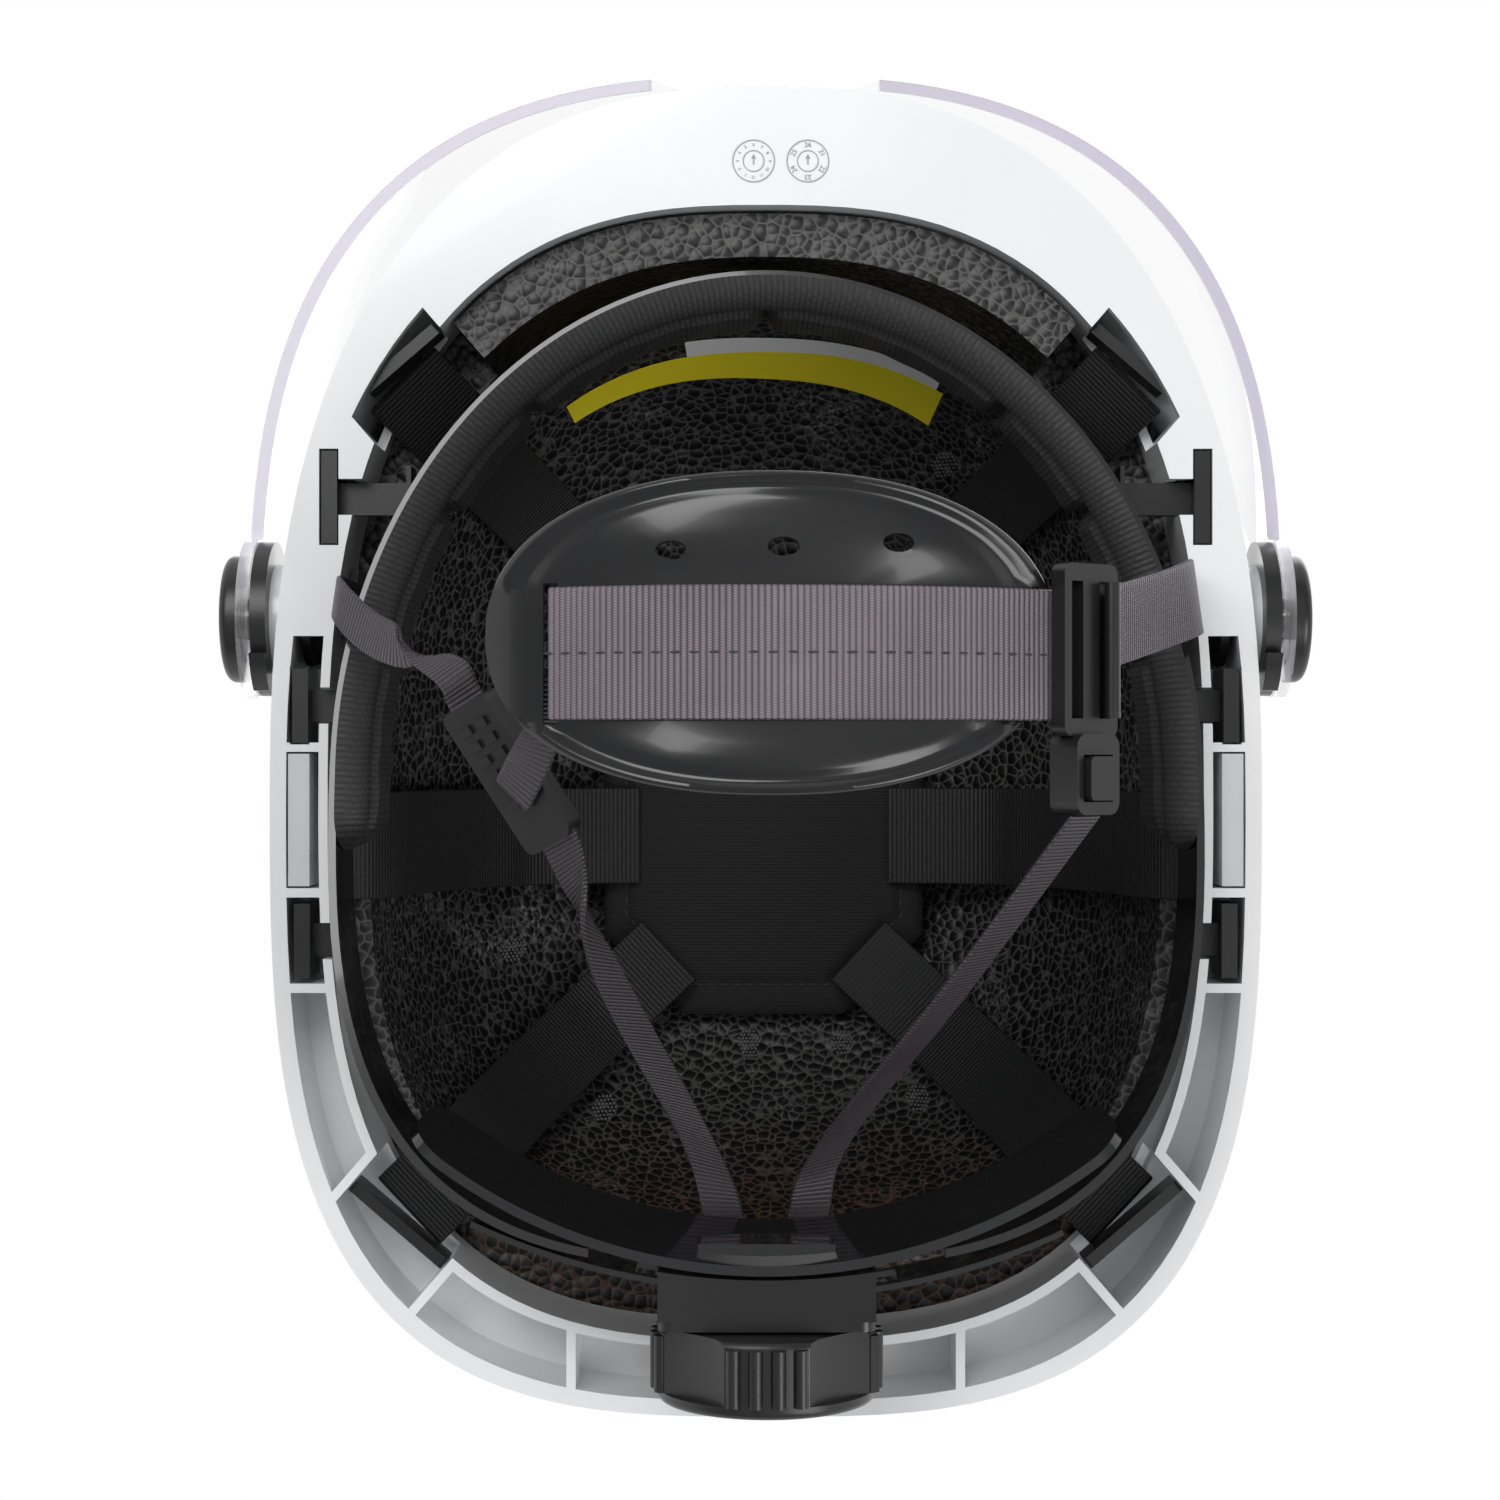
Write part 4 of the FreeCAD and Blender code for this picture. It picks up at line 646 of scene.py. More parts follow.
# ---------------------------------------------------------------- shapes
@dataclass(frozen=True)
class Plan:
    """A polar superellipse outline seen from above, longer in front than behind."""

    half_width: float
    front: float
    rear: float
    front_power: float
    rear_power: float
    centre_y: float

    def inset(self, distance: float) -> "Plan":
        """Returns the outline moved inwards."""
        return Plan(self.half_width - distance, self.front - distance, self.rear - distance,
                    self.front_power, self.rear_power, self.centre_y)

    def scaled(self, share: float) -> "Plan":
        """Returns the outline made smaller about its centre."""
        return Plan(self.half_width * share, self.front * share, self.rear * share,
                    self.front_power, self.rear_power, self.centre_y)

    def radius(self, angle: float) -> float:
        """Measures from the centre to the outline.

        Args:
            angle: The direction in radians.

        Returns:
            The distance.
        """
        behind = math.sin(angle) >= 0
        length, power = (self.rear, self.rear_power) if behind else (self.front, self.front_power)
        across = abs(math.cos(angle)) / self.half_width
        along = abs(math.sin(angle)) / length
        return (across**power + along**power) ** (-1.0 / power)

    def point(self, angle: float, z: float = 0.0) -> Vector:
        """Returns the outline's point in one direction."""
        reach = self.radius(angle)
        return Vector((reach * math.cos(angle), self.centre_y + reach * math.sin(angle), z))

    def x_at(self, y: float) -> float:
        """Measures the half-width at one Y.

        Args:
            y: The Y.

        Returns:
            The half-width there.
        """
        along = y - self.centre_y
        length, power = (self.rear, self.rear_power) if along >= 0 else (self.front, self.front_power)
        return self.half_width * max(0.0, 1.0 - (abs(along) / length) ** power) ** (1.0 / power)

    def reach(self, start: Vector, along: Vector) -> float:
        """Measures from a point to the outline.

        Args:
            start: The point, inside the outline.
            along: The direction.

        Returns:
            The distance to where the outline is crossed.
        """
        low, high = 0.0, 2.0 * self.rear
        for _ in range(40):
            middle = (low + high) / 2
            x, y = start.x + along.x * middle, start.y + along.y * middle - self.centre_y
            inside = math.hypot(x, y) < self.radius(math.atan2(y, x))
            low, high = (middle, high) if inside else (low, middle)
        return low


DOME_POWER = 2.2
HARD_EDGE = math.radians(40)
CUT_EDGE = math.radians(50)
RIM_WALL = 2.0 * MM
LINER_HEIGHT = 124.0 * MM
RIM_PLAN = Plan(96.5 * MM, 130.3 * MM, 118.5 * MM, 2.65, 2.9, 7.3 * MM)
LINER_PLAN = Plan(90.5 * MM, 118.0 * MM, 104.5 * MM, 2.4, 2.9, 7.3 * MM)
BAND_PLAN = Plan(91.0 * MM, 107.0 * MM, 101.0 * MM, 2.0, 3.0, 0.0)


def dome_share(z: float, height: float) -> float:
    """Returns how much of its full outline a dome has at one height."""
    return (1.0 - (z / height) ** DOME_POWER) ** (1.0 / DOME_POWER)


def grid_mesh(name: str, rows: list[list[Vector]],
              uvs: list[list[tuple[float, float]]] | None = None, capped: bool = False) -> bpy.types.Mesh:
    """Skins rows of points, each a closed loop.

    Args:
        name: The mesh's name.
        rows: Rows of points, all as long as each other.
        uvs: One pair for each point of a row, with one more at its end.
        capped: Whether the first and last rows are filled.

    Returns:
        The mesh, with smooth faces that point outwards.
    """
    count = len(rows[0])
    faces, face_uvs = [], []
    for i in range(len(rows) - 1):
        for j in range(count):
            k = (j + 1) % count
            faces.append((i * count + j, i * count + k, (i + 1) * count + k, (i + 1) * count + j))
            if uvs:
                face_uvs.append((uvs[i][j], uvs[i][j + 1], uvs[i + 1][j + 1], uvs[i + 1][j]))
    if capped:
        last = (len(rows) - 1) * count
        for start in (0, last):
            loop = tuple(range(start, start + count))
            faces.append(loop)
            if uvs:
                face_uvs.append(tuple(uvs[start // count][:count]))
    mesh = bpy.data.meshes.new(name)
    mesh.from_pydata([point for row in rows for point in row], [], faces)
    if uvs:
        layer = mesh.uv_layers.new(name="UVMap")
        flat = [pair for face in face_uvs for pair in face]
        for loop, pair in zip(layer.data, flat):
            loop.uv = pair
    return outward(mesh)


def outward(mesh: bpy.types.Mesh) -> bpy.types.Mesh:
    """Turns a closed mesh's faces outwards and shades it smooth, with its hard edges kept.

    Args:
        mesh: The mesh.

    Returns:
        The same mesh.
    """
    work = bmesh.new()
    work.from_mesh(mesh)
    bmesh.ops.recalc_face_normals(work, faces=work.faces)
    work.to_mesh(mesh)
    work.free()
    mesh.shade_smooth()
    mesh.set_sharp_from_angle(angle=HARD_EDGE)
    return mesh


def add_piece(name: str, mesh: bpy.types.Mesh, finish: Finish,
              stands_for: tuple[str, ...] = (), body: str = Body.HAT.value) -> bpy.types.Object:
    """Adds one finished piece to the hat.

    Args:
        name: The piece's name.
        mesh: Its mesh, already in place.
        finish: Its finish.
        stands_for: CAD nodes that it replaces.
        body: The CAD body that it rides on.

    Returns:
        The new object.
    """
    piece = bpy.data.objects.new(name, mesh)
    bpy.context.scene.collection.objects.link(piece)
    mesh.materials.clear()
    mesh.materials.append(WARDROBE.get(finish))
    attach(piece, body)
    if stands_for:
        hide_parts(*stands_for)
    LOG.info("%s: %d faces", name, len(mesh.polygons))
    return piece


def baked(piece: bpy.types.Object) -> bpy.types.Mesh:
    """Makes an object a plain mesh with its modifiers, and removes the object.

    Args:
        piece: The object.

    Returns:
        Its mesh.
    """
    graph = bpy.context.evaluated_depsgraph_get()
    mesh = bpy.data.meshes.new_from_object(piece.evaluated_get(graph))
    bpy.data.objects.remove(piece)
    return mesh


def loose_object(name: str, mesh: bpy.types.Mesh) -> bpy.types.Object:
    """Makes a linked object for modifiers to work on.

    Args:
        name: The object's name.
        mesh: Its mesh or curve.

    Returns:
        The object.
    """
    piece = bpy.data.objects.new(name, mesh)
    bpy.context.scene.collection.objects.link(piece)
    return piece


class Station(NamedTuple):
    """Where a strap's middle passes, which way its width lies and which way its face looks."""

    centre: Vector
    across: Vector
    normal: Vector


def station(centre: tuple, across: tuple, normal: tuple) -> Station:
    """Makes a station from millimetres and plain directions."""
    return Station(Vector(centre) * MM, Vector(across).normalized(), Vector(normal).normalized())


def flipped(stop: Station) -> Station:
    """Returns a station on the other side of the hat."""
    return Station(*(Vector((-v.x, v.y, v.z)) for v in stop))


def smooth_between(a: Vector, b: Vector, c: Vector, d: Vector, t: float) -> Vector:
    """Returns a point from b to c on a smooth curve through four points."""
    return 0.5 * (2 * b + (c - a) * t + (2 * a - 5 * b + 4 * c - d) * t * t + (3 * b - a - 3 * c + d) * t**3)


@dataclass
class Strap:
    """Flat webbing with rounded selvedges along a smooth path.

    Attributes:
        name: The piece's name.
        stations: Where it passes.
        width: Its width.
        thick: Its thickness.
        slot: Its material slot.
        node: The CAD node that it stands for.
        steps: Cuts between two stations.
        finish: Its finish, where the slot's own one isn't used.
    """

    name: str
    stations: list[Station]
    width: float
    thick: float
    slot: Slot
    node: str
    steps: int = 14
    finish: Finish | None = None

    def path(self) -> list[Station]:
        """Cuts the smooth path.

        Returns:
            The path's stations.
        """
        stops = [self.stations[0], *self.stations, self.stations[-1]]
        path = []
        for i in range(1, len(stops) - 2):
            for j in range(self.steps):
                t = j / self.steps
                path.append(Station(*(smooth_between(*(stops[i + k][part] for k in (-1, 0, 1, 2)), t)
                                      for part in range(3))))
        return [*path, self.stations[-1]]

    def build(self) -> bpy.types.Object:
        """Builds the strap.

        Returns:
            Its object.
        """
        half, thin = self.width / 2, self.thick / 2
        selvedge = [(0.4 * thin, thin * 0.85), (1.4 * thin, thin)]
        section = [(-half, 0.0), *((-half + u, v) for u, v in selvedge)]
        section += [(half * s, thin * 0.93) for s in (-0.7, -0.35, 0.0, 0.35, 0.7)]
        section += [(half - u, v) for u, v in reversed(selvedge)]
        section += [(-u, -v) for u, v in section]
        rows, uvs = [], []
        length = 0.0
        before = None
        for stop in self.path():
            lean = stop.across * stop.normal.dot(stop.across) / stop.across.length_squared
            normal = stop.normal - lean
            across, normal = stop.across.normalized(), normal.normalized()
            length += (stop.centre - before).length if before else 0.0
            before = stop.centre
            rows.append([stop.centre + across * u + normal * v for u, v in section])
            uvs.append([(u, length) for u, _ in section] + [(section[0][0], length)])
        mesh = grid_mesh(self.name, rows, uvs, capped=True)
        return add_piece(self.name, mesh, self.finish or FINISHES[self.slot], (self.node,))


# ---------------------------------------------------------------- geometry nodes
class RepeatKind(Enum):
    """What a row of repeats is made of."""

    STITCHES = "stitches"
    DOTS = "dots"


class Repeats:
    """Geometry Nodes trees for stitches along a line and dots on points."""

    def __init__(self) -> None:
        """Starts with no tree built."""
        self.made: dict[RepeatKind, bpy.types.NodeTree] = {}

    def tree(self, kind: RepeatKind) -> bpy.types.NodeTree:
        """Returns one tree, built on first use.

        Args:
            kind: Stitches or dots.

        Returns:
            The node tree, with inputs Spacing, Length, Radius and Material.
        """
        if kind in self.made:
            return self.made[kind]
        tree = bpy.data.node_groups.new(kind.value, "GeometryNodeTree")
        face = tree.interface
        face.new_socket("Geometry", in_out="INPUT", socket_type="NodeSocketGeometry")
        for name in ("Spacing", "Length", "Radius"):
            face.new_socket(name, in_out="INPUT", socket_type="NodeSocketFloat")
        face.new_socket("Material", in_out="INPUT", socket_type="NodeSocketMaterial")
        face.new_socket("Geometry", in_out="OUTPUT", socket_type="NodeSocketGeometry")
        add, join = tree.nodes.new, tree.links.new
        source, sink = add("NodeGroupInput"), add("NodeGroupOutput")
        ball = add("GeometryNodeMeshUVSphere")
        ball.inputs["Segments"].default_value = 8
        ball.inputs["Rings"].default_value = 6
        join(source.outputs["Radius"], ball.inputs["Radius"])
        place = add("GeometryNodeInstanceOnPoints")
        stretch = add("GeometryNodeTransform")
        join(ball.outputs["Mesh"], stretch.inputs["Geometry"])
        join(stretch.outputs["Geometry"], place.inputs["Instance"])
        if kind is RepeatKind.STITCHES:
            ratio = add("ShaderNodeMath")
            ratio.operation = "DIVIDE"
            join(source.outputs["Length"], ratio.inputs[0])
            join(source.outputs["Radius"], ratio.inputs[1])
            size = add("ShaderNodeCombineXYZ")
            size.inputs[0].default_value = size.inputs[1].default_value = 1.0
            join(ratio.outputs[0], size.inputs[2])
            join(size.outputs[0], stretch.inputs["Scale"])
            curve, cut = add("GeometryNodeMeshToCurve"), add("GeometryNodeResampleCurve")
            cut.mode = "LENGTH"
            join(source.outputs["Geometry"], curve.inputs["Mesh"])
            join(curve.outputs["Curve"], cut.inputs["Curve"])
            join(source.outputs["Spacing"], cut.inputs["Length"])
            tangent, turn = add("GeometryNodeInputTangent"), add("FunctionNodeAlignRotationToVector")
            turn.axis = "Z"
            join(tangent.outputs[0], turn.inputs["Vector"])
            join(turn.outputs[0], place.inputs["Rotation"])
            join(cut.outputs["Curve"], place.inputs["Points"])
        else:
            join(source.outputs["Geometry"], place.inputs["Points"])
        real, paint = add("GeometryNodeRealizeInstances"), add("GeometryNodeSetMaterial")
        join(place.outputs["Instances"], real.inputs[0])
        join(real.outputs[0], paint.inputs["Geometry"])
        join(source.outputs["Material"], paint.inputs["Material"])
        join(paint.outputs[0], sink.inputs[0])
        self.made[kind] = tree
        return tree

    def mesh(self, kind: RepeatKind, name: str, points: list[Vector], finish: Finish, radius: float,
             length: float = 0.0, spacing: float = 0.0) -> bpy.types.Mesh:
        """Runs a tree on points and returns its plain mesh.

        Args:
            kind: Stitches along the points' line, or dots on the points.
            name: The mesh's name.
            points: The line or the points.
            finish: The repeats' finish.
            radius: Radius of a stitch or dot.
            length: Half a stitch's length.
            spacing: Distance from one stitch to the next.

        Returns:
            The realized mesh.
        """
        seed = bpy.data.meshes.new(name)
        edges = [(i, i + 1) for i in range(len(points) - 1)] if kind is RepeatKind.STITCHES else []
        seed.from_pydata(points, edges, [])
        piece = loose_object(name + "_seed", seed)
        modifier = piece.modifiers.new("repeat", "NODES")
        modifier.node_group = self.tree(kind)
        values = {"Spacing": spacing, "Length": length, "Radius": radius, "Material": WARDROBE.get(finish)}
        for item in modifier.node_group.interface.items_tree:
            if item.in_out == "INPUT" and item.name in values:
                modifier[item.identifier] = values[item.name]
        mesh = baked(piece)
        mesh.name = name
        mesh.shade_smooth()
        return mesh

    def stitches(self, name: str, line: list[Vector], finish: Finish = STITCH_THREAD,
                 spacing: float = 3.2 * MM) -> bpy.types.Object:
        """Adds a row of stitches along a line and returns it."""
        mesh = self.mesh(RepeatKind.STITCHES, name, line, finish, 0.28 * MM, 1.1 * MM, spacing)
        return add_piece(name, mesh, finish)


REPEATS = Repeats()


# ---------------------------------------------------------------- sub-assemblies
@dataclass
class BrowPad:
    """Foam pad in ribbed cloth round the inside of the headband, with a rolled lower edge."""

    thick: float = 8.5 * MM
    gap: float = 1.9 * MM
    half_height: float = 18.6 * MM
    front_z: float = 14.0 * MM
    rear_z: float = -28.0 * MM
    end_y: float = 18.0 * MM
    roll: float = 6.5 * MM
    seam_depth: float = 0.42
    seam_width: float = 1.1
    groove_depth: float = 0.5
    groove_width: float = 0.06
    fold_depth: float = 0.035
    folds: float = 46.0
    seam_turns: tuple[float, ...] = (0.0, 34.0, 52.0, 74.0)
    columns: int = 260

    def level(self, y: float) -> float:
        """Returns the pad's middle height at one Y."""
        share = (y + BAND_PLAN.front) / (BAND_PLAN.front + BAND_PLAN.rear)
        return self.front_z + (self.rear_z - self.front_z) * share

    def angles(self) -> list[float]:
        """Divides the way from one end of the pad to the other, round the front.

        Returns:
            The directions in radians.
        """
        end = 0.0
        for _ in range(60):
            end += (self.end_y - BAND_PLAN.point(end).y) / BAND_PLAN.half_width * 0.8
        start = -math.pi - end
        return [start + (end - start) * i / self.columns for i in range(self.columns + 1)]

    def seam(self, angle: float) -> float:
        """Measures how deep the nearest cross seam pulls the cloth in.

        Args:
            angle: The direction in radians.

        Returns:
            The depth, up to 1.
        """
        turn = abs(math.degrees(angle) + 90.0)
        near = min(abs(turn - at) for at in self.seam_turns)
        return math.exp(-((near / self.seam_width) ** 2))

    def bulge(self, height: float, angle: float) -> float:
        """Measures the pad's thickness.

        Args:
            height: The height from -1, the rolled edge, to 1.
            angle: The direction in radians.

        Returns:
            The thickness.
        """
        full = self.thick * max(0.0, 1.0 - abs(height) ** 5) ** 0.5
        edge = -1.0 + self.roll / self.half_height
        groove = math.exp(-(((height - edge) / self.groove_width) ** 2)) * self.groove_depth
        pinch = self.seam_depth * self.seam(angle) * (1.0 if height > edge else 0.0)
        fold = self.fold_depth * math.sin(angle * self.folds + 3.0 * height) * (1.0 - abs(height))
        return full * (1.0 - max(groove, pinch)) * (0.97 + fold)

    def build(self) -> None:
        """Builds the pad and its seams."""
        heights = [math.sin(math.pi / 2 * (-1 + 2 * i / 34)) for i in range(35)]
        rows, uvs, seam_line = [], [], []
        arc, before = 0.0, None
        angles = self.angles()
        for i, angle in enumerate(angles):
            foot = BAND_PLAN.inset(self.gap).point(angle)
            ahead = BAND_PLAN.inset(self.gap).point(angle + 0.001)
            tangent = (ahead - foot).normalized()
            inward = Vector((-tangent.y, tangent.x, 0.0))
            end = min(1.0, min(i, len(angles) - 1 - i) / 7.0)
            taper = math.sqrt(max(0.02, 1.0 - (1.0 - end) ** 2))
            arc += (foot - before).length if before else 0.0
            before = foot
            inner = [(h, self.bulge(h, angle) * taper) for h in heights]
            outer = [(h, 0.25 * MM * (1 - h * h)) for h in reversed(heights[1:-1])]
            middle = self.level(foot.y)
            row, pairs = [], []
            for j, (height, depth) in enumerate(inner + outer):
                row.append(foot + inward * depth + Vector((0, 0, middle + height * self.half_height * taper)))
                pairs.append((height * self.half_height, arc))
            rows.append(row)
            uvs.append([*pairs, pairs[0]])
            edge = -1.0 + self.roll / self.half_height
            seam_line.append(foot + inward * (self.bulge(edge, angle) * taper)
                             + Vector((0, 0, middle + edge * self.half_height * taper)))
        pad = add_piece("brow_pad_cloth", grid_mesh("brow_pad_cloth", rows, uvs, capped=True),
                        FINISHES[Slot.PAD], ("brow_pad",))
        REPEATS.stitches("brow_pad_stitches", seam_line[6:-6])


@dataclass
class CrownPad:
    """Flat padded cloth with cut corners over the crown, stitched along its border."""

    half_width: float = 40.0 * MM
    front: float = -45.0 * MM
    rear: float = 63.0 * MM
    corner: float = 20.0 * MM
    low: float = 101.0 * MM
    high: float = 105.0 * MM
    border: float = 0.86

    def outline(self, count: int = 160) -> list[Vector]:
        """Spaces points evenly round the pad's edge.

        Args:
            count: How many points.

        Returns:
            The points.
        """
        w, f, r, c = self.half_width, self.front, self.rear, self.corner
        corners = [Vector(pair) for pair in (
            (-w, f + c), (-w + c, f), (w - c, f), (w, f + c),
            (w, r - c), (w - c, r), (-w + c, r), (-w, r - c))]
        sides = list(zip(corners, corners[1:] + corners[:1]))
        total = sum((b - a).length for a, b in sides)
        points = []
        for i in range(count):
            left = total * i / count
            for a, b in sides:
                if left <= (b - a).length:
                    points.append(a + (b - a).normalized() * left)
                    break
                left -= (b - a).length
        return points

    def depth(self, share: float) -> float:
        """Measures half the pad's thickness.

        Args:
            share: The place from the middle, 0, to the edge, 1.

        Returns:
            The half thickness.
        """
        full = (self.high - self.low) / 2
        groove = 0.5 * math.exp(-(((share - self.border) / 0.025) ** 2))
        return full * (max(0.0, 1.0 - share**8) ** 0.5) * (1.0 - groove)

    def build(self) -> None:
        """Builds the pad and its border stitches."""
        centre = Vector((0.0, (self.front + self.rear) / 2))
        edge = self.outline()
        shares = [0.02, 0.2, 0.4, 0.6, 0.74, 0.8, 0.83, 0.85, 0.87, 0.89, 0.92, 0.96, 0.985, 1.0]
        middle_z = (self.low + self.high) / 2
        rows = []
        for sign, order in ((-1, shares), (1, shares[-2::-1])):
            for share in order:
                rows.append([Vector((*(centre + (p - centre) * share), middle_z + sign * self.depth(share)))
                             for p in edge])
        uvs = [[(p.x, p.y) for p in row] + [(row[0].x, row[0].y)] for row in rows]
        pad = add_piece("crown_pad_cloth", grid_mesh("crown_pad_cloth", rows, uvs, capped=True),
                        FINISHES[Slot.CROWN], ("crown_pad",))
        line = [Vector((*(centre + (p - centre) * self.border), middle_z - self.depth(self.border)))
                for p in edge]
        REPEATS.stitches("crown_pad_stitches", [*line, line[0]])


@dataclass
class CrownStraps:
    """Six black straps from the crown pad down to the rim."""

    thick: float = 1.4 * MM
    pad_low: float = 101.0 * MM
    gap: float = 0.3 * MM
    lap: float = 9.0 * MM
    dome_height: float = 112.0 * MM
    inside_liner: float = 5.0 * MM
    heights: tuple[float, ...] = (92.0, 82.0, 70.0, 56.0, 44.0, 34.0)
    side_width: float = 24.0 * MM
    side_y: float = 18.0 * MM
    side_end_gap: float = 1.9 * MM
    slant_width: float = 20.0 * MM
    pad: CrownPad = field(default_factory=CrownPad)

    def stations(self, start: Vector, along: Vector, top: float,
                 ends: list[tuple[float, float]]) -> list[Station]:
        """Returns one strap's stations over the head.

        Args:
            start: Where it leaves the crown pad, in plan.
            along: Its direction in plan.
            top: Height of its lower face there.
            ends: Distance and height of its last points.

        Returns:
            The stations, in order.
        """
        plan = LINER_PLAN.inset(self.inside_liner)
        profile = [(0.0, top)]
        for height in self.heights:
            z = height * MM
            profile.append((plan.scaled(dome_share(z, self.dome_height)).reach(start, along), z))
        profile += ends
        across = Vector((-along.y, along.x, 0.0))
        stops = []
        for i, (s, z) in enumerate(profile):
            s0, z0 = profile[max(0, i - 1)]
            s1, z1 = profile[min(len(profile) - 1, i + 1)]
            step = math.hypot(s1 - s0, z1 - z0)
            normal = along * ((z0 - z1) / step) + Vector((0, 0, (s1 - s0) / step))
            middle = start + along * s + Vector((0, 0, z)) + normal * (self.thick / 2)
            stops.append(Station(middle, across, normal))
        return stops

    def build(self) -> None:
        """Builds all six straps."""
        side_z = self.pad_low - self.thick - self.gap
        side_x = self.pad.half_width - self.lap
        rim_x = RIM_PLAN.inset(RIM_WALL).x_at(self.side_y) - self.side_end_gap
        routes = {"side": (Vector((side_x, self.side_y, 0)), Vector((1, 0, 0)), side_z, self.side_width,
                           [(88.0 * MM - side_x, 23.5 * MM), (rim_x - side_x, 21.0 * MM)])}
        inward = self.pad.corner / 2 + self.lap * 0.7
        for name, corner_y, place in (("front", self.pad.front + inward, (79.0, -84.0)),
                                      ("rear", self.pad.rear - inward, (77.5, 97.0))):
            start = Vector((self.pad.half_width - inward, corner_y, 0))
            along = Vector((place[0] * MM - start.x, place[1] * MM - start.y, 0))
            reach = along.length
            routes[name] = (start, along.normalized(), side_z - self.thick - self.gap,
                            self.slant_width,
                            [(reach - 14.0 * MM, 23.5 * MM), (reach, 9.0 * MM)])
        for name, (start, along, top, width, ends) in routes.items():
            left = self.stations(start, along, top, ends)
            for side, stops in (("left", left), ("right", [flipped(s) for s in left])):
                Strap(f"crown_webbing_{name}_{side}", stops, width, self.thick, Slot.WEBBING,
                      f"crown_strap_{name}_{side}", steps=8).build()


